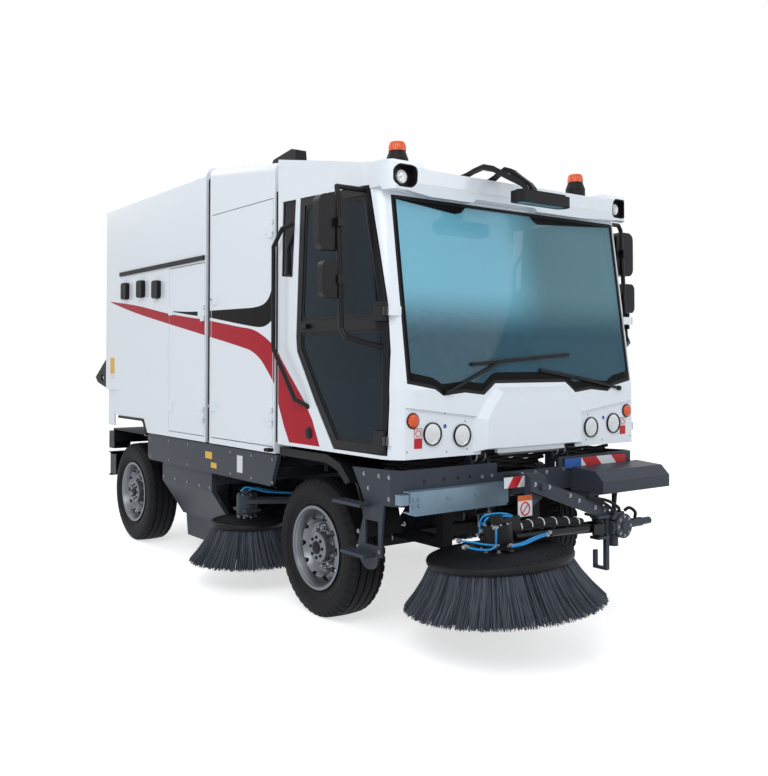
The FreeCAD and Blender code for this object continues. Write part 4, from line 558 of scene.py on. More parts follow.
def flared_brush(name, axis_at, tilt, r_disc, r_tip, z_disc, z_tip, count, shaft_top, t=0.060):
    """Disc with a rolled, bolted edge on its shaft, and curved bristles that fan outwards."""
    rnd = random.Random(len(name) * 13 + count)
    bm = bmesh.new()
    turn = Matrix.Rotation(tilt, 3, Vector((1, -1, 0)))

    def at(r, a, z):
        return axis_at + turn @ Vector((r * math.cos(a), r * math.sin(a), z - z_disc))

    up = turn @ Z
    prof = [(0.03, t)] + [(r_disc * a, t * b) for a, b in (
        (0.30, 1.0), (0.36, 0.98), (0.55, 0.86), (0.58, 0.80), (0.86, 0.66), (0.95, 0.70), (1.0, 0.62))]
    prof += [(r_disc + 0.006, t * 0.45), (r_disc + 0.004, t * 0.2), (r_disc - 0.004, 0.0),
             (r_disc - 0.02, -0.004), (0.03, -0.004)]
    add_lathe(bm, prof, axis_at, up, 96, 1)
    add_rod(bm, axis_at + up * 0.01, axis_at + up * (shaft_top - z_disc), 0.0298, seg=32, mat=2)
    for a in around(8):
        add_hex(bm, at(r_disc * 0.24, a, z_disc + t), up, 0.011, 0.014, 2)
    for a in around(36):
        add_hex(bm, at(r_disc * 0.90, a, z_disc + t * 0.66), up, 0.006, 0.007, 1, washer=False)
    drop = z_disc - z_tip
    rows = 5
    for i in range(count):
        row = i % rows
        f = (row + 0.25 + 0.5 * rnd.random()) / rows
        tuft = round(rnd.random() * 100) / 100 * 2 * math.pi
        a = tuft + rnd.gauss(0, 0.017)
        r0 = r_disc - 0.100 + 0.092 * f
        r1 = r_tip - 0.105 + 0.103 * f - abs(rnd.gauss(0, 0.007))
        fan = a + rnd.gauss(0, 0.020)
        length = 1.0 - abs(rnd.gauss(0, 0.030))
        route = []
        for s in (0.0, 0.4, 0.72, 1.0):
            q = s * length
            # leaves steeply, then bends outwards
            r = r0 + (r1 - r0) * (0.72 * q + 0.28 * q * q)
            z = z_disc - drop * (1.06 * q - 0.06 * q * q)
            route.append(at(r, a + (fan - a) * q, z))
        add_bristle(bm, route, 0.0030, 0.0021, rnd.random() * 2)
    piece("bristles_" + name, bm, name, [BRISTLE, PLASTIC, STEEL], 40, [name], turned=False)


# radii and heights of disc and tips, m
FRONT_BRUSH = dict(r_disc=0.405, r_tip=0.577, z_disc=0.503, z_tip=0.268, count=5600, shaft_top=0.628)
SIDE_BRUSH = dict(r_disc=0.260, r_tip=0.429, z_disc=0.417, z_tip=0.170, count=3400, shaft_top=0.540)
FB_TILT = math.radians(5.4)                  # lean of the front brush, as much to the right as to the rear
FB_EACH = math.sin(FB_TILT) / math.sqrt(2)
FB_REACH, FB_TIP, FB_DROP = 1725.0, 577.0, 235.0
FB = W(FB_REACH - FB_TIP * math.sqrt(1 - FB_EACH ** 2) - FB_DROP * FB_EACH, -525, 503)
SB_X, SB_Y, SB_Z = -1012, 925, 417           # middle of a side brush's disc, y outwards
flared_brush("front_brush", FB, FB_TILT, **FRONT_BRUSH)
for side, s in SIDES:
    flared_brush("side_brush_" + side, W(SB_X, s * SB_Y, SB_Z), 0.0, **SIDE_BRUSH)


def main_brush():
    """Roller with bristles in twenty twisted rows."""
    rnd = random.Random(5)
    lo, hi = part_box("main_brush")
    c = centre("main_brush")
    bm = bmesh.new()
    half = 0.64
    add_lathe(bm, [(0.0, -half), (0.14, -half), (0.145, -half + 0.02), (0.145, half - 0.02), (0.14, half),
                   (0.0, half)], c, Y, 40, 1)
    add_rod(bm, Vector((c.x, lo[1], c.z)), Vector((c.x, hi[1], c.z)), 0.0298, seg=24, mat=2)
    for i in range(5200):
        u = rnd.uniform(-half + 0.012, half - 0.012)
        a = round(rnd.random() * 20) / 20 * 2 * math.pi + u * 1.6 + rnd.gauss(0, 0.05)
        d = Vector((math.cos(a), 0, math.sin(a)))
        tip = d * (0.298 - abs(rnd.gauss(0, 0.006))) + Y * rnd.gauss(0, 0.004)
        p = c + Y * u
        add_bristle(bm, [p + d * 0.14, p + tip], 0.0035, 0.0024)
    piece("bristles_main", bm, "main_brush", [BRISTLE, PLASTIC, STEEL], 40, ["main_brush"],
          turned=False)


main_brush()


# ---------------------------------------------------------------- coloured films on the sides
def clip(poly, x0, x1, z0, z1):
    """Cut a polygon of (x, z) points to a rectangle."""
    for axis, lim, keep_more in ((0, x0, True), (0, x1, False), (1, z0, True), (1, z1, False)):
        out = []
        for i, p in enumerate(poly):
            q = poly[i - 1]
            pin = p[axis] >= lim if keep_more else p[axis] <= lim
            qin = q[axis] >= lim if keep_more else q[axis] <= lim
            if pin != qin:
                t = (lim - q[axis]) / (p[axis] - q[axis])
                out.append((q[0] + (p[0] - q[0]) * t, q[1] + (p[1] - q[1]) * t))
            if pin:
                out.append(p)
        poly = out
        if not poly:
            return []
    return poly


def soften(pts, steps=6):
    """Smooth an open run of (x, z) points."""
    v = [Vector((x, 0, z)) for x, z in pts]
    return [(p.x, p.z) for p in smooth_route(v, steps)]


RED_UP = ((-3325, 2158), (-2700, 2090), (-2040, 1992), (-1366, 1915), (-896, 1854), (-682, 1827), (-520, 1774),
          (-384, 1704))
RED_LOW = ((-3325, 2150), (-2800, 2040), (-2201, 1935), (-1366, 1797), (-823, 1705), (-682, 1673), (-573, 1621),
           (-494, 1558), (-384, 1455))
BLACK_UP = ((-1962, 2009), (-1660, 1992), (-1367, 1986), (-823, 1979), (-654, 1979), (-519, 1999), (-440, 2063),
            (-384, 2203))
BLACK_LOW = ((-1962, 2003), (-1660, 1968), (-1367, 1938), (-1100, 1903), (-823, 1866), (-600, 1841),
             (-493, 1850), (-415, 1888), (-384, 1934))
SWOOSH = soften(RED_UP) + list(reversed(soften(RED_LOW)))
DARK = soften(BLACK_UP) + list(reversed(soften(BLACK_LOW)))
SILL_Y, STICKER = 1067.0, 0.8
DOOR_X0 = (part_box("hopper_door_right")[0][0] - AXLE) * 1000
DOOR_Z1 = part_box("hopper_door_right")[1][2] * 1000
# (body, x0, x1, z0, z1) of the flat panels that carry the films
PANELS = (("hopper", -3440, DOOR_X0 - 5, 1000, 3000), ("hopper", DOOR_X0 - 5, -1391, DOOR_Z1 + 5, 3000),
          ("hopper_door", DOOR_X0 + 1, -1407, 1043, DOOR_Z1 - 1),
          ("chassis", -1319, -1301, 1000, 2960), ("mid_door", -1293, -413, 1043, 2693),
          ("chassis", -405, -387, 1000, 2930))


def film(name, side, s, poly, mat):
    """A coloured film cut to the panels it runs over, each cut riding on its own panel's body."""
    for i, (body, x0, x1, z0, z1) in enumerate(PANELS):
        p = clip(poly, x0, x1, z0, z1)
        if len(p) < 3:
            continue
        b = body if body in ("hopper", "chassis") else "%s_%s" % (body, side)
        bm = bmesh.new()
        bm.faces.new([bm.verts.new(W(x, s * HALF, z) + Vector((0, s * FILM, 0))) for x, z in p])
        bmesh.ops.triangulate(bm, faces=bm.faces)
        ext = bmesh.ops.extrude_face_region(bm, geom=list(bm.faces))
        for v in [g for g in ext["geom"] if isinstance(g, bmesh.types.BMVert)]:
            v.co.y -= s * FILM * 0.9
        piece("%s_%s_%d" % (name, side, i), bm, b, mat, 0)


for side, s in SIDES:
    film("red_swoosh", side, s, SWOOSH, RED)
    film("black_swoosh", side, s, DARK, BLACK_FILM)


def plates():
    """Blank stickers on the hopper's corners and on the sills."""
    for name, body, y, rows in (
            ("stickers_hopper", "hopper", HALF, ((-3283, 1559, 105, 150, 0), (-3283, 1460, 105, 34, 1))),
            ("stickers_sill", "chassis", SILL_Y, ((-1346, 902, 110, 52, 0), (-1263, 832, 90, 40, 0),
                                                  (-867, 880, 80, 120, 1)))):
        bm = bmesh.new()
        for s in (-1, 1):
            for x, z, w, h, mat in rows:
                y0, y1 = sorted((s * y, s * (y + STICKER)))
                add_box(bm, W(x - w / 2, y0, z - h / 2), W(x + w / 2, y1, z + h / 2), 0.0002, mat)
        piece(name, bm, body, [YELLOW, WHITE_FILM], 0)


plates()

# ---------------------------------------------------------------- the cab's surface and glazing seals
GLASS_IN = 9.4                               # the screen's face lies this far inside the panels


def front_plane(z, inset):
    """x of the cab's leaning front at z, moved in by inset."""
    return FRONT_X - inset - LEAN * max(0.0, z - WAIST_Z)


def corner_drop(over, r, share):
    """How far a corner of radius r has turned away at a length past its start."""
    over = min(max(over, 0.0), r * share)
    return r - math.sqrt(r * r - over * over)


def front_x(y, z, inset):
    """The cab's front surface at y, z, moved in by inset."""
    r = CORNER_R - inset
    return front_plane(z, inset) - corner_drop(abs(y) - (HALF - CORNER_R), r, 0.999)


def closed_strip(name, body, pts, normals, width, height, mat):
    """A seal of rectangular section along a closed line lying on a surface."""
    bm = bmesh.new()
    section = ((-1, 0.0), (1, 0.0), (1, height * 0.6), (0.6, height), (-0.6, height), (-1, height * 0.6))
    rows = []
    for i, (p, normal) in enumerate(zip(pts, normals)):
        side = (pts[(i + 1) % len(pts)] - pts[i - 1]).normalized().cross(normal).normalized()
        rows.append([bm.verts.new(p + side * (w * width / 2) + normal * h) for w, h in section])
    for i, row in enumerate(rows):
        skin(bm, row, rows[(i + 1) % len(rows)])
    piece(name, bm, body, mat, 40)


def dense(poly, step=40.0):
    """Points at most a step or so apart round a closed outline."""
    out = []
    for i, p in enumerate(poly):
        q = poly[(i + 1) % len(poly)]
        k = max(1, int(math.dist(p, q) / step))
        for j in range(k):
            out.append((p[0] + (q[0] - p[0]) * j / k, p[1] + (q[1] - p[1]) * j / k))
    return out


def round_corners(poly, r, steps=4):
    """An outline with its corners rounded."""
    out = []
    for i, p in enumerate(poly):
        a, b, c = Vector(poly[i - 1]), Vector(p), Vector(poly[(i + 1) % len(poly)])
        u, w = (a - b), (c - b)
        k = min(r, u.length * 0.45, w.length * 0.45)
        p, q = b + u.normalized() * k, b + w.normalized() * k
        for j in range(steps + 1):
            t = j / steps
            v = p * (1 - t) ** 2 + b * 2 * t * (1 - t) + q * t * t
            out.append((v.x, v.y))
    return out


PANEL_EDGE = ((310.0, 1478.0), (404.0, 1411.0), (560.0, 1428.0), (730.0, 1413.0), (790.0, 1450.0),
              (985.0, 1484.0))
SCREEN_EDGE = ([(-y, z) for y, z in reversed(PANEL_EDGE)] + list(PANEL_EDGE)
               + [(985.0, 2560.0), (-985.0, 2560.0)])
EDGE = dense(round_corners(SCREEN_EDGE, 30), 30)


def front_normal(y):
    over = max(0.0, min(abs(y) - (HALF - CORNER_R), 120.0))
    a = math.asin(min(0.9, over / CORNER_R)) * (1 if y > 0 else -1)
    return Vector((math.cos(a), math.sin(a), LEAN * math.cos(a))).normalized()


closed_strip("screen_seal", "cab", [W(front_x(y, z, GLASS_IN), y, z) for y, z in EDGE],
             [front_normal(y) for y, z in EDGE], 0.040, 0.0035, PLASTIC)

PANE_UP = ((-20.0, 2590.0), (606.0, 2566.0), (676.0, 2238.0), (735.0, 1946.0), (748.0, 1862.0), (-62.0, 1862.0))
PANE_LOW = ((-62.0, 1790.0), (756.0, 1790.0), (768.0, 1664.0), (772.0, 1386.0), (758.0, 1140.0),
            (330.0, 1140.0), (140.0, 1395.0), (-58.0, 1690.0))
QUARTER = ((-285.0, 2655.0), (-125.0, 2648.0), (-165.0, 2150.0), (-300.0, 2165.0))


def side_y(x, z, inset):
    """The cab's side surface at x, z, moved in by inset."""
    r = CORNER_R - inset
    return HALF - inset - corner_drop(x - (front_plane(z, inset) - r), r, 0.98)


for side, s in SIDES:
    for label, poly, body, r, wide in (("pane_up", PANE_UP, "cab_door_" + side, 60, 0.040),
                                       ("pane_low", PANE_LOW, "cab_door_" + side, 40, 0.032),
                                       ("quarter", QUARTER, "cab", 22, 0.026)):
        e = dense(round_corners(poly, r), 40)
        pp = [W(x, s * side_y(x, z, 9.0), z) for x, z in e]
        closed_strip("%s_seal_%s" % (label, side), body, pp, [Vector((0, s, 0))] * len(e), wide, 0.004, PLASTIC)


# ---------------------------------------------------------------- cab, outside
def screen_band(bm, rows, depth=9.2, thick=0.6):
    """A black printed band on the screen, from (y, low z, high z) rows."""
    runs = []
    for y, z0, z1 in rows:
        zs = (z0, (z0 + z1) / 2, z1)
        runs.append([bm.verts.new(W(front_x(y, z, depth), y, z)) for z in zs]
                    + [bm.verts.new(W(front_x(y, z, depth + thick), y, z)) for z in reversed(zs)])
    for a, b in zip(runs, runs[1:]):
        skin(bm, a, b)
    face(bm, runs[0])
    face(bm, runs[-1][::-1])


def interp(table, v):
    """The value at v on a broken line of (place, value) points."""
    for (a, fa), (b, fb) in zip(table, table[1:]):
        if a <= v <= b:
            return fa + (fb - fa) * (v - a) / (b - a)
    return table[0][1] if v < table[0][0] else table[-1][1]


def frit():
    """The screen's printed edge: along the panel, at the top corners and up both sides."""
    low = ((0.0, 1478.0),) + PANEL_EDGE
    bm = bmesh.new()
    ys = [-982 + 1964 * k / 54 for k in range(55)]
    screen_band(bm, [(y, interp(low, abs(y)) - 4, interp(low, abs(y)) + 66) for y in ys])
    top_right = ((-982.0, 2540.0), (-502.0, 2492.0), (-447.0, 2505.0), (-376.0, 2572.0))
    top_left = ((116.0, 2572.0), (206.0, 2493.0), (638.0, 2517.0), (982.0, 2540.0))
    for run in (top_right, top_left):
        a, b = run[0][0], run[-1][0]
        ys = [a + (b - a) * k / 24 for k in range(25)]
        screen_band(bm, [(y, interp(run, y), 2580) for y in ys])
    for s in (-1, 1):
        screen_band(bm, [(y, 1500, 2545) for y in sorted((s * 950, s * 966, s * 982))])
    piece("screen_band", bm, "cab", BLACK_FILM, 40)


frit()

LAMP_X = FRONT_X - 18.0
LAMPS = ((800.0, 1198.0, 61.0), (572.0, 1180.0, 61.0))
POD = dict(x=800.0, y=947.0, z=2658.0, r=40.0)
BEACON = dict(x=569.0, y=803.0, z0=2862.0, z1=2920.0, r=54.0)
INDICATOR = dict(y=943.0, z=1277.0, r=38.0)
MIRROR_Y = 1395.0                            # outer edge of the door mirrors


def head_lamps():
    """Domed clear lenses over reflector bowls with bulbs, in the panel and in the roof corners."""
    lens, bowl = bmesh.new(), bmesh.new()
    for s in (-1, 1):
        rows = [(LAMP_X, s * y, z, r) for y, z, r in LAMPS]
        rows.append((POD["x"] - 18, s * POD["y"], POD["z"], POD["r"]))
        for x, y, z, r in rows:
            o, k = W(x, y, z), r / 1000
            add_lathe(lens, [(0.0, 0.0192), (k * 0.35, 0.0186), (k * 0.68, 0.0160), (k * 0.9, 0.0112),
                             (k, 0.0060), (k, 0.0004), (k * 0.985, 0.0004), (k * 0.97, 0.0055),
                             (k * 0.87, 0.0100), (k * 0.66, 0.0142), (k * 0.34, 0.0166), (0.0, 0.0172)],
                      o, X, 40)
            add_lathe(bowl, [(k * 0.955, 0.0050), (k * 0.80, 0.0030), (k * 0.50, 0.0014), (k * 0.22, 0.0008),
                             (0.0, 0.0008), (0.0, 0.0002), (k * 0.955, 0.0002)], o, X, 40, closed=True)
            add_lathe(bowl, [(0.0, 0.0128), (k * 0.10, 0.0120), (k * 0.17, 0.0095), (k * 0.18, 0.0010),
                             (0.0, 0.0010)], o, X, 16, 1)
            add_torus(bowl, o + X * 0.0030, X, k * 0.62, 0.0012, 32, 6)
    piece("lamp_lenses", lens, "cab", CLEAR, 40, ["head_lamps"])
    piece("lamp_bowls", bowl, "cab", [BRIGHT, BULB], 40)


head_lamps()


def signal_lamps():
    """Ribbed beacon lenses and ringed indicator lenses."""
    bm = bmesh.new()
    b, i = BEACON, INDICATOR
    h = (b["z1"] - b["z0"]) / 1000
    r = b["r"] / 1000
    prof = [(0.0, h), (r * 0.55, h), (r * 0.74, h - 0.002), (r * 0.86, h - 0.010), (r * 0.95, h * 0.55),
            (r * 0.97, h * 0.25), (r * 0.98, 0.006), (r * 0.98, 0.0), (0.0, 0.0)]

    def ribs(k, j, rr, z):
        return (rr * (1.018 if k % 2 else 0.985), z) if 2 < j < 7 else (rr, z)

    for s in (-1, 1):
        add_lathe(bm, prof, W(b["x"], s * b["y"], b["z0"]), Z, 72, ring=ribs)
        o = W(LAMP_X, s * i["y"], i["z"])
        q = i["r"] / 1000
        add_lathe(bm, [(0.0, 0.0225), (q * 0.18, 0.0222), (q * 0.22, 0.0200), (q * 0.40, 0.0205),
                       (q * 0.44, 0.0182), (q * 0.62, 0.0182), (q * 0.66, 0.0155), (q * 0.84, 0.0145),
                       (q * 0.93, 0.0115), (q, 0.0095), (q, 0.0), (0.0, 0.0)], o, X, 40)
        add_torus(bm, o + X * 0.004, X, q + 0.003, 0.004, 40, 8, 1)
    piece("signal_lenses", bm, "cab", [AMBER, PLASTIC], 40, ["signal_lamps"])


signal_lamps()


def cab_labels():
    """Blank labels, small blue squares and the screws of the lamp panels."""
    bm = bmesh.new()
    for s in (-1, 1):
        for dx, y, z, w, h, t, r, mat in ((0.05, 903, 1204, 0.060, 0.060, 0.0005, 0.005, 1),
                                          (0.40, 903, 1204, 0.052, 0.052, 0.0006, 0.004, 0),
                                          (0.05, 903, 1147, 0.060, 0.054, 0.0008, 0.005, 1),
                                          (0.05, 702, 1238, 0.022, 0.022, 0.0008, 0.003, 2)):
            rounded_plate(bm, W(LAMP_X + dx, s * y, z), Y, Z, w, h, t, r, mat)
        add_torus(bm, W(LAMP_X + 1.1, s * 903, 1204), X, 0.018, 0.0024, 28, 6, 1)
        for sy, sz in ((545, 1262), (700, 1312), (860, 1340), (985, 1352), (985, 1105), (690, 1092),
                       (530, 1100)):
            add_lathe(bm, [(0.0, 0.0018), (0.0028, 0.0020), (0.0055, 0.0014), (0.0062, 0.0), (0.0, 0.0)],
                      W(LAMP_X, s * sy, sz), X, 14, 3)
    piece("cab_labels", bm, "cab", [WHITE_FILM, RED_FILM, BLUE_FILM, STEEL])


cab_labels()


def cab_films():
    """The red band that runs on over the cab's rear corners, and the round cap in it."""
    red = [(-338, 1668), (-303, 1624), (-190, 1515), (-22, 1356), (70, 1240), (151, 1084), (-200, 1084),
           (-262, 1180), (-338, 1330)]
    for side, s in SIDES:
        bm = bmesh.new()
        add_prism(bm, [W(x, s * (HALF + 0.05), z) for x, z in red], Vector((0, s * FILM, 0)))
        piece("red_band_" + side, bm, "cab", RED, 0)
        bm = bmesh.new()
        add_lathe(bm, [(0.0, 0.012), (0.026, 0.012), (0.034, 0.009), (0.038, 0.0), (0.0, 0.0)],
                  W(33, s * (HALF + 0.4), 1160), Vector((0, s, 0)), 32)
        piece("side_cap_" + side, bm, "cab", PLASTIC, 40)


cab_films()


def mirror_glasses():
    """Glass of the door mirrors, the front mirror and the inside mirror."""
    for side, s in SIDES:
        bm = bmesh.new()
        for x, y0, y1, z0, z1, r in ((545.0, MIRROR_Y - 188, MIRROR_Y, 2232.0, 2548.0, 0.048),
                                     (575.0, MIRROR_Y - 175, MIRROR_Y - 12, 1962.0, 2172.0, 0.034)):
            mid = W(x, s * (y0 + y1) / 2, (z0 + z1) / 2)
            w, h = (y1 - y0) / 1000 - 0.022, (z1 - z0) / 1000 - 0.022
            rounded_plate(bm, mid - X * 0.0002, Z, Y, h, w, 0.0018, r - 0.01)
            rounded_plate(bm, mid + X * 0.0003, Z, Y, h + 0.008, w + 0.008, 0.0010, r - 0.006, 1)
        piece("mirror_glass_" + side, bm, "cab_door_" + side, [MIRROR, PLASTIC], 30)
    bm = bmesh.new()
    rounded_plate(bm, W(639.8, -185, 2233), Z, Y, 0.10, 0.27, 0.0015, 0.03)
    rounded_plate(bm, W(1080, -121, 2537.9), Y, X, 0.37, 0.050, 0.0010, 0.024)
    piece("mirror_glass_cab", bm, "cab", MIRROR, 30)


mirror_glasses()


# ---------------------------------------------------------------- cab, inside
SEAT_Y, DASH_TOP = 420.0, 1400.0


def padded_block(name, pts_low, pts_high, creases, voxel=0.011, cap=0.010):
    """A cushion between two outlines of four points, swelled by a cloth simulation, then creased.

    creases is a list of (point, normal, width, depth): grooves sewn along planes."""
    bm = bmesh.new()
    a = [bm.verts.new(p) for p in pts_low]
    b = [bm.verts.new(p) for p in pts_high]
    face(bm, a[::-1])
    face(bm, b)
    skin(bm, a, b)
    outward(bm)
    bmesh.ops.bevel(bm, geom=list(bm.edges), offset=0.032, segments=4, affect="EDGES", profile=0.5)
    o = piece(name, bm, "cab", FABRIC, 0)
    m = o.modifiers.new("voxels", "REMESH")
    m.mode = "VOXEL"
    m.voxel_size = voxel
    apply_modifiers(o)
    start = [v.co.copy() for v in o.data.vertices]
    c = o.modifiers.new("swell", "CLOTH")
    c.settings.use_pressure = True
    c.settings.uniform_pressure_force = 4.0
    c.settings.effector_weights.gravity = 0
    c.settings.quality = 4
    c.point_cache.frame_start, c.point_cache.frame_end = 1, 14
    for f in range(1, 15):
        SCENE.frame_set(f)
    apply_modifiers(o)
    SCENE.frame_set(1)
    for v, p in zip(o.data.vertices, start):
        d = v.co - p
        if d.length > cap:
            v.co = p + d * (cap / d.length)
    for v in o.data.vertices:
        for p, n, width, depth in creases:
            t = (v.co - p).dot(n)
            v.co -= v.normal * depth * math.exp(-(t / width) ** 2)
    o.modifiers.new("smooth", "SUBSURF").levels = 1
    apply_modifiers(o)
    o.data.polygons.foreach_set("use_smooth", [True] * len(o.data.polygons))
    return o


def apply_modifiers(o):
    dg = bpy.context.evaluated_depsgraph_get()
    dg.update()
    me = bpy.data.meshes.new_from_object(o.evaluated_get(dg))
    o.modifiers.clear()
    old, o.data = o.data, me
    if not me.materials:
        for m in old.materials:
            me.materials.append(m)
    bpy.data.meshes.remove(old)


def quad(x0, x1, y0, y1, z):
    """Corners of a level rectangle."""
    return [W(x0, y0, z), W(x1, y0, z), W(x1, y1, z), W(x0, y1, z)]


def cab_seats():
    """Padded cushions, backs and head rests on bellows with bases, levers and arm rest pivots."""
    for side, s in SIDES:
        y = s * SEAT_Y
        sewn = [(W(0, y + d, 0), Y, 0.008, 0.011) for d in (-142, 142)]
        c = padded_block("seat_cushion_" + side, quad(-84, 306, y - 230, y + 230, 1424),
                         quad(-84, 306, y - 230, y + 230, 1522), sewn + [(W(150, y, 0), X, 0.007, 0.007)])
        if side == "right":
            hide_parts("seats")
        ends = []
        for z, half in ((1560.0, 220), (2134.0, 205)):
            t = (z - 1540.0) / 610.0
            ends.append(quad(-100 - 50 * t + 14, 20 - 80 * t - 14, y - half, y + half, z))
        padded_block("seat_back_" + side, *ends, [(W(0, y + d, 0), Y, 0.008, 0.010) for d in (-132, 132)]
                     + [(W(0, y, z), Z, 0.007, 0.007) for z in (1720, 1960)])
        padded_block("head_rest_" + side, quad(-140, -80, y - 118, y + 118, 2168),
                     quad(-140, -100, y - 108, y + 108, 2318), [(W(0, y, 2243), Z, 0.007, 0.004)],
                     voxel=0.009, cap=0.006)
        bm = bmesh.new()
        for k in range(7):                                # bellows under the cushion
            z = 1150 + k * 36
            add_box(bm, W(-50, y - 180, z), W(270, y + 180, z + 20), 0.008)
            add_box(bm, W(-36, y - 166, z + 16), W(256, y + 166, z + 40), 0.004)
        add_box(bm, W(-58, y - 188, 1114), W(278, y + 188, 1152), 0.008, 1)
        add_box(bm, W(-90, y - 236, 1402), W(310, y + 236, 1426), 0.010, 1)
        for d in (-60, 60):
            add_rod(bm, W(-118, y + d, 2120), W(-112, y + d, 2190), 0.007, seg=12, mat=2)
        add_pipe(bm, [W(262, y + s * 236, 1412), W(300, y + s * 240, 1418), W(316, y + s * 236, 1430)],
                 0.006, 8, 1)
        for d in (-1, 1):                                 # arm rests
            add_rod(bm, W(-60, y + d * 226, 1740), W(-60, y + d * 242, 1740), 0.022, seg=16, mat=1)
        piece("seat_base_" + side, bm, "cab", [VINYL, PLASTIC, STEEL], 35)


cab_seats()


def dash_details():
    """Display, switches, vents, a tablet on its arm and the column's lever."""
    bm = bmesh.new()
    y0 = -SEAT_Y
    up = Vector((-0.85, 0, 0.53)).normalized()
    rounded_plate(bm, W(563, y0, 1448), Y, -Y.cross(up), 0.24, 0.11, 0.006, 0.012, 1)
    for k in range(8):
        rounded_plate(bm, W(610, y0 + 260 + k * 34, DASH_TOP), Y, X, 0.022, 0.034, -0.012, 0.004)
    for yy in (-700, -120, 120, 420, 700):
        rounded_plate(bm, W(610, yy, DASH_TOP), Y, X, 0.11, 0.055, -0.008, 0.012)
        for k in range(4):
            add_box(bm, W(588 + k * 14, yy - 48, DASH_TOP + 8), W(592 + k * 14, yy + 48, DASH_TOP + 14), 0.001)
    add_rod(bm, W(600, -120, DASH_TOP), W(540, -150, 1560), 0.010, seg=12)
    lean = Vector((0.2, 0, 0.98))
    rounded_plate(bm, W(532, -150, 1620), Y, lean, 0.22, 0.15, -0.018, 0.012)
    rounded_plate(bm, W(531, -150, 1620), Y, lean, 0.20, 0.13, 0.001, 0.008, 1)
    add_pipe(bm, [W(480, y0 - 20, 1700), W(470, y0 - 140, 1715), W(462, y0 - 200, 1722)], 0.007, 8)
    piece("dash_details", bm, "cab", [PLASTIC, DISPLAY])


dash_details()


# ---------------------------------------------------------------- bolts and small fasteners
BUMPER_X, GATE_X = -3537.0, -3444.0          # rear faces of the bumper and the tailgate


def fasteners():
    """Hex bolts in tables of (name, direction, radius, points), and black discs painted as the shade in the
    front plate's bare holes.
    """
    rows = [("front_beam", X, 0.0095, [(926, y, z) for y in (-978, -938) for z in (812, 846)]
             + [(926, -720, 838), (926, -505, 838)]),
            ("front_plate", X, 0.0095, [(866, s * y, 915) for s in (-1, 1) for y in (60, 160)]
             + [(866, s * 358 + dy, 925) for s in (-1, 1) for dy in (-40, 40)])]
    for side, s in SIDES:
        out = Vector((0, s, 0))
        rows += [("side_plate_" + side, out, 0.0085,
                  [(x, s * 1040, z) for x, z in ((560, 960), (700, 960), (790, 960), (600, 880), (790, 840),
                                                 (500, 530), (700, 530), (505, 620))]),
                 ("sill_" + side, out, 0.0065,
                  [(x, s * SILL_Y, z) for x in (-2420, -2050, -1700, -1000, -700, -420) for z in (800, 955)]),
                 ("hood_" + side, out, 0.0075,
                  [(x, s * 1032, z) for x in (-2220, -2000, -1780, -1560, -1390) for z in (780, 650)])]
    rows += [("rail_" + side, Vector((0, s, 0)), 0.010,
              [(x, s * 430, z) for x in (-3300, -2350, -1300, -460, 420) for z in (740, 860)])
             for side, s in SIDES]
    rows.append(("bumper", Vector((-1, 0, 0)), 0.010,
                 [(BUMPER_X, y, 640) for y in (-930, -450, 450, 930)]))
    for label, d, r, pts in rows:
        bm = bmesh.new()
        for p in pts:
            add_hex(bm, W(*p), d, r, r * 0.9)
        piece("bolts_" + label, bm, "chassis", ZINC if "beam" in label else STEEL, 30)
    # painted shade: thin black discs laid over the front plate's holes
    bm = bmesh.new()
    for s in (-1, 1):
        for y, z in ((500, 935), (590, 935), (590, 870), (850, 935), (850, 870), (700, 935)):
            add_lathe(bm, [(0.0, 0.0006), (0.0085, 0.0006), (0.0105, 0.0), (0.0, 0.0)],
                      W(866.05, s * y, z), X, 14)
    piece("painted_hole_shade", bm, "chassis", BLACK, 30)


fasteners()


def hazard_boards():
    """Colours of the blank boards in front: blue, white and red blocks, and two small striped plates."""
    def flat(bm, x, z0, z1, low, high, mat):
        """A block between the two ys of low along its lower edge and those of high along its upper edge."""
        pts = [W(x, low[0], z0), W(x, low[1], z0), W(x, high[1], z1), W(x, high[0], z1)]
        add_prism(bm, pts, X * FILM, mat)

    bm = bmesh.new()
    for low, high, mat in (((320, 478), (320, 478), 2), ((478, 532), (478, 480), 0),
                           ((532, 688), (480, 628), 1), ((688, 838), (628, 778), 0),
                           ((838, 933), (778, 933), 1)):
        flat(bm, 878.0, 927.5, 988.5, low, high, mat)
    piece("board_colours", bm, "chassis", [WHITE_FILM, RED_FILM, BLUE_FILM], 0)
    bm = bmesh.new()
    y0, y1 = -450.0, -281.0
    for low, high, mat in (((y0, y0 + 28), (y0, y0 + 74), 0), ((y0 + 28, y0 + 106), (y0 + 74, y0 + 152), 1),
                           ((y0 + 106, y1), (y0 + 152, y1), 0)):
        flat(bm, 1094.1, 886.0, 948.0, low, high, mat)
    ends, z0, z1, z2 = (-360.0, -243.0), 718.0, 808.0, 840.0
    flat(bm, 1115.1, z0, z1, ends, ends, 0)
    flat(bm, 1115.1, z1, z2, ends, ends, 2)
    mid = W(1115.9, sum(ends) / 2, (z0 + z1) / 2)
    add_torus(bm, mid, X, 0.036, 0.0042, 32, 6, 1)
    across = Vector((0, 0.024, 0.024))
    add_rod(bm, mid - across, mid + across, 0.0035, seg=8, mat=1)
    piece("small_plates", bm, "chassis", [WHITE_FILM, RED_FILM, ORANGE_FILM], 30)


hazard_boards()


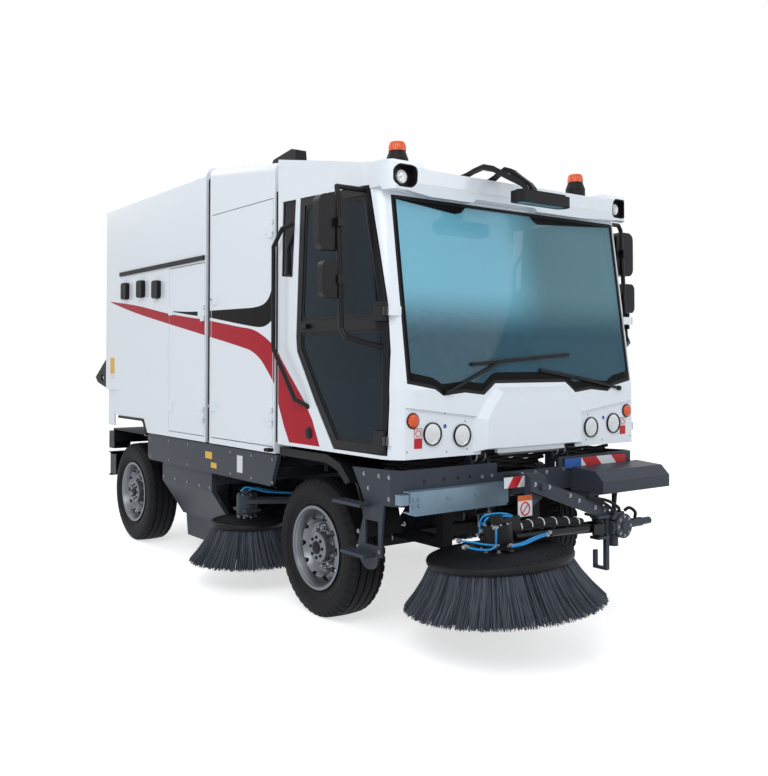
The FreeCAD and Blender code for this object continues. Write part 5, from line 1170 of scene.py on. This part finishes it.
def tilt_bushes():
    """Pale bush rings, black hubs and dark hose runs under the cab's front edge."""
    bm = bmesh.new()
    for s in (-1, 1):
        for side in (-1, 1):
            o = W(780, s * 358 + side * 31, 1043)
            d = Vector((0, side, 0))
            add_lathe(bm, [(0.040, 0.0), (0.040, 0.006), (0.034, 0.009), (0.022, 0.009), (0.020, 0.006),
                           (0.020, 0.0)], o, d, 32, closed=True)
            add_lathe(bm, [(0.020, 0.0), (0.020, 0.010), (0.015, 0.013), (0.0, 0.013), (0.0, 0.0)], o, d, 24, 1)
            add_hex(bm, o + d * 0.012, d, 0.010, 0.010, 2)
    piece("tilt_bush_rings", bm, "cab", [PALE_RUBBER, BLACK, STEEL])
    bm = bmesh.new()
    for k in range(18):
        y0, y1 = ((-900, -415), (-305, 305), (415, 900))[k % 3]
        x, z = 640 + 22 * (k // 3), 945 + 17 * (k // 3)
        pts = [W(x, y0 + (y1 - y0) * j / 4, z + (6 if (j + k) % 2 else -6)) for j in range(5)]
        add_pipe(bm, pts, 0.012)
    piece("under_cab_hoses", bm, "chassis", RUBBER, 35)


tilt_bushes()


# ---------------------------------------------------------------- hoses of the front arm
def front_hoses():
    """Rigid runs of hydraulic line on the brush head, and the ties round the arm's hose bundle."""
    bm = bmesh.new()

    def at(x, y, z):
        return Vector((FB.x + x / 1000, FB.y + y / 1000, z / 1000))

    blue = ([(-70, -90, 640), (-54, -84, 736), (-8, -26, 760), (14, 50, 752), (18, 122, 716)],
            [(-40, -92, 668), (-26, -76, 734), (10, -6, 746), (30, 60, 738), (34, 118, 708)],
            [(62, -96, 700), (74, -104, 680), (76, -106, 640), (74, -104, 604)],
            [(74, -104, 604), (96, -170, 596), (92, -250, 604), (60, -320, 622)],
            [(70, -108, 606), (60, -190, 620), (30, -250, 634), (-10, -300, 640)],
            [(118, -40, 606), (128, 40, 612), (130, 140, 632), (118, 250, 640), (92, 300, 636)],
            [(126, -44, 600), (138, 50, 606), (138, 150, 626), (128, 240, 632)])
    for pts in blue:
        add_pipe(bm, [at(*q) for q in pts], 0.0060, 8)
    for x, y, z in ((-70, -90, 640), (-40, -92, 668), (62, -96, 700), (74, -104, 604), (60, -320, 622),
                    (-10, -300, 640), (118, -40, 606), (92, 300, 636), (128, 240, 632)):
        o = at(x, y, z)
        add_rod(bm, o - Vector((0, 0.016, 0)), o + Vector((0, 0.016, 0)), 0.0095, seg=12, mat=3)
        add_rod(bm, o - Vector((0, 0.006, 0)), o + Vector((0, 0.006, 0)), 0.0130, seg=6, mat=3)
    tube = [Vector(q) for q in ((1130, 165, 640), (1140, -30, 662), (1150, -250, 678), (1150, -465, 672))]
    run = [q + X * 4 for q in tube]
    sleeve = (run[0].lerp(run[1], 0.2), run[1], run[2], run[2].lerp(run[3], 0.75))
    add_pipe(bm, [W(*q) for q in sleeve], 0.031, 20, 1)
    for p, q, shares in zip(run, run[1:], ((0.3, 0.8), (0.35, 0.85), (0.3, 0.7))):
        for k in shares:
            add_torus(bm, W(*p.lerp(q, k)), (q - p).normalized(), 0.0312, 0.0038, 32, 8, 2)
    add_pipe(bm, [W(q.x + 36, q.y, q.z - 14) for q in tube], 0.0085, 10, 1)
    piece("arm_hoses", bm, "front_arm_lower", [BLUE, RUBBER, WHITE_FILM, STEEL])
    bm = bmesh.new()
    up = Vector((-FB_EACH, -FB_EACH, math.cos(FB_TILT)))
    side = up.orthogonal().normalized()
    for a in around(10):
        d = side * math.cos(a) + up.cross(side) * math.sin(a)
        add_hex(bm, FB + up * 0.2005 + d * 0.074, up, 0.008, 0.008)
    piece("head_bolts", bm, "front_arm_lower", STEEL, 30)
    bm = bmesh.new()
    for pts in (((1174, 410, 652), (1196, 380, 700), (1190, 300, 752), (1176, 170, 796)),
                ((1178, 470, 684), (1196, 430, 716), (1196, 330, 764), (1178, 190, 792)),
                ((1176, 520, 684), (1192, 550, 700), (1196, 600, 670), (1180, 620, 632))):
        add_pipe(bm, [W(*q) for q in pts], 0.010)
    for x, y, z in ((1162, 350, 700), (1162, 258, 725), (1162, 110, 780), (1162, 30, 815), (1162, -150, 880),
                    (1162, -270, 905)):
        add_hex(bm, W(x, y, z), X, 0.009, 0.009, 1)
    for a in around(8):
        add_hex(bm, W(1200, 490 + 58 * math.cos(a), 594 + 58 * math.sin(a)), X, 0.0065, 0.007, 1)
    piece("upper_arm_details", bm, "front_arm_upper", [RUBBER, STEEL])


front_hoses()


def side_hoses():
    """Motor lines of the side brushes, tied to each arm, and the bolts of the motors."""
    for side, s in SIDES:
        bm = bmesh.new()
        for pts, mat in ((((-975, 930, 672), (-930, 900, 690), (-840, 800, 668), (-720, 640, 655)), 0),
                         (((-1050, 930, 672), (-1010, 870, 694), (-900, 780, 672), (-740, 610, 655)), 1),
                         (((-1012, 975, 665), (-940, 960, 700), (-860, 860, 672), (-760, 700, 658)), 0)):
            add_pipe(bm, [W(x, s * y, z) for x, y, z in pts], 0.0075, 8, mat)
        for a in around(6):
            add_hex(bm, W(SB_X + 58 * math.cos(a), s * SB_Y + 58 * math.sin(a), 640), Z, 0.007, 0.008, 2)
        piece("side_hoses_" + side, bm, "side_arm_" + side, [BLUE, RUBBER, STEEL])


side_hoses()


# ---------------------------------------------------------------- rear
def rear_details():
    """Lamp clusters and blank plate in the bumper, and the tailgate's ribs, posts and catches."""
    bm = bmesh.new()
    for s in (-1, 1):
        for k, mat in enumerate((1, 2, 1, 3)):
            yy = s * (880 - k * 84)
            rounded_plate(bm, W(-3536, yy, 636), Z, Y, 0.10, 0.074, 0.009, 0.010, mat)
            for j in range(5):
                add_box(bm, W(-3546.5, yy - 32, 600 + j * 17), W(-3544, yy + 32, 603 + j * 17), 0.0006, mat)
        rounded_plate(bm, W(-3535.5, s * 754, 636), Z, Y, 0.128, 0.36, 0.0025, 0.012)
        rounded_plate(bm, W(-3536, s * 300, 690), Z, Y, 0.030, 0.09, 0.006, 0.006, 1)
    rounded_plate(bm, W(-3536, 0, 636), Z, Y, 0.114, 0.520, 0.002, 0.008, 4)
    piece("rear_lamps", bm, "chassis", [PLASTIC, RED_LENS, AMBER, CLEAR, WHITE_FILM])
    bm = bmesh.new()
    for zz in (1480, 1700, 1920, 2140, 2360, 2580, 2800):
        add_box(bm, W(GATE_X - 14, -860, zz), W(GATE_X + 1, 860, zz + 36), 0.006)
    for s in (-1, 1):
        add_box(bm, W(GATE_X - 10, s * 905 - 22, 1420), W(GATE_X + 1, s * 905 + 22, 2960), 0.005)
        add_box(bm, W(GATE_X - 26, s * 780 - 35, 1400), W(GATE_X + 1, s * 780 + 35, 1452), 0.006, 1)
        add_rod(bm, W(GATE_X - 20, s * 780, 1398), W(GATE_X - 20, s * 780, 1470), 0.011, seg=14, mat=2)
    piece("tailgate_ribs", bm, "tailgate", [WHITE, PLASTIC, STEEL], 35)


rear_details()


def vent_louvres():
    """Slats inside the three air cowls on each side."""
    for side, s in SIDES:
        bm = bmesh.new()
        for x, zc in ((-2944, 2232), (-2592, 2229), (-2266, 2172)):
            for k in range(5):
                zz = zc - 44 + k * 22
                add_box(bm, W(x - 44, s * 1076 - 1, zz - 3), W(x + 10, s * 1076 + 1, zz + 3), 0.0008)
        piece("vent_slats_" + side, bm, "hopper", PLASTIC, 30)
        bm = bmesh.new()
        for x, zc in ((-1265, 1275), (-1235, 2063)):
            add_lathe(bm, [(0.0, 0.004), (0.008, 0.004), (0.011, 0.002), (0.011, 0.0), (0.0, 0.0)],
                      W(x, s * 1111, zc), Vector((0, s, 0)), 20)
        piece("latch_keys_" + side, bm, "mid_door_" + side, STEEL, 35)


vent_louvres()


def spring_leaves():
    """Leaf edges, clamp plates and U-bolts of the four springs."""
    bm = bmesh.new()
    for ax in (0.0, REAR_AXLE):
        for s in (-1, 1):
            y0, y1 = sorted((s * 354.0, s * 436.0))
            for k in range(4):
                half = 545 - k * 110
                add_box(bm, W(ax - half, y0, 452.5 + k * 12.6), W(ax + half, y1, 463 + k * 12.6), 0.0015)
            for dx in (-70, 70):
                for y in (y0 - 9, y1 + 9):
                    add_rod(bm, W(ax + dx, y, 432), W(ax + dx, y, 540), 0.009, seg=12, mat=1)
                    add_hex(bm, W(ax + dx, y, 524), Z, 0.014, 0.014, 1)
                add_box(bm, W(ax + dx - 11, y0 - 20, 513), W(ax + dx + 11, y1 + 20, 524), 0.002, 1)
    piece("spring_leaves", bm, "chassis", [GREY_DARK, STEEL], 30)


spring_leaves()


# ---------------------------------------------------------------- floor and light
WORLD_LIGHT, FLOOR_LIFT = 0.515, 0.64
# name, place, what it looks at, width and power
LAMP_TABLE = (("key", (5.5, -6.5, 7.0), (0, 0, 1.2), 6.0, 330),
              ("fill", (9.0, 4.0, 5.0), (1, 0, 1.2), 6.0, 125),
              ("top", (0, 0, 9.0), (0, 0, 0), 8.0, 170),
              ("back", (-8.0, -2.0, 6.0), (0, 0, 1.5), 5.0, 110))


def seen_rays(m):
    """1 for the rays that show the background: from the camera, in gloss and through glass."""
    path = node(m, "LightPath").outputs
    return maths(m, "MAXIMUM", path["Is Camera Ray"], path["Is Glossy Ray"], path["Is Transmission Ray"])


def floor_look():
    """Pale floor that lifts to white for the rays that show it, and keeps the shadow."""
    m = finish("studio_floor", (0.80, 0.80, 0.80), 0.75, 0, 0.008, 0.5, 6, 0, 0.04, spec=0.0)
    shader(m)["Emission Color"].default_value = (1, 1, 1, 1)
    m.node_tree.links.new(maths(m, "MULTIPLY", seen_rays(m), FLOOR_LIFT), shader(m)["Emission Strength"])
    return m


def stage():
    """Floor, world and lamps of a plain pale studio."""
    me = bpy.data.meshes.new("floor")
    bm = bmesh.new()
    bmesh.ops.create_grid(bm, x_segments=1, y_segments=1, size=60)
    bm.to_mesh(me)
    bm.free()
    floor = bpy.data.objects.new("floor", me)
    floor.data.materials.append(floor_look())
    SCENE.collection.objects.link(floor)
    world = bpy.data.worlds.new("studio")
    world.use_nodes = True
    nodes, links = world.node_tree.nodes, world.node_tree.links
    lit = nodes["Background"]
    lit.inputs["Color"].default_value = (0.90, 0.95, 1.0, 1)
    lit.inputs["Strength"].default_value = WORLD_LIGHT
    shown = node(world, "Background", (("Color", (1, 1, 1, 1)), ("Strength", 1.0)))
    mix = node(world, "MixShader", ((0, seen_rays(world)), (1, lit.outputs[0]), (2, shown.outputs[0])))
    links.new(mix.outputs[0], nodes["World Output"].inputs["Surface"])
    SCENE.world = world
    for name, place, aim, size, power in LAMP_TABLE:
        lamp = bpy.data.lights.new(name, "AREA")
        lamp.shape = "DISK"
        lamp.size = size
        lamp.energy = power
        o = bpy.data.objects.new(name, lamp)
        o.location = place
        o.rotation_euler = (Vector(aim) - Vector(place)).to_track_quat("-Z", "Y").to_euler()
        SCENE.collection.objects.link(o)


stage()
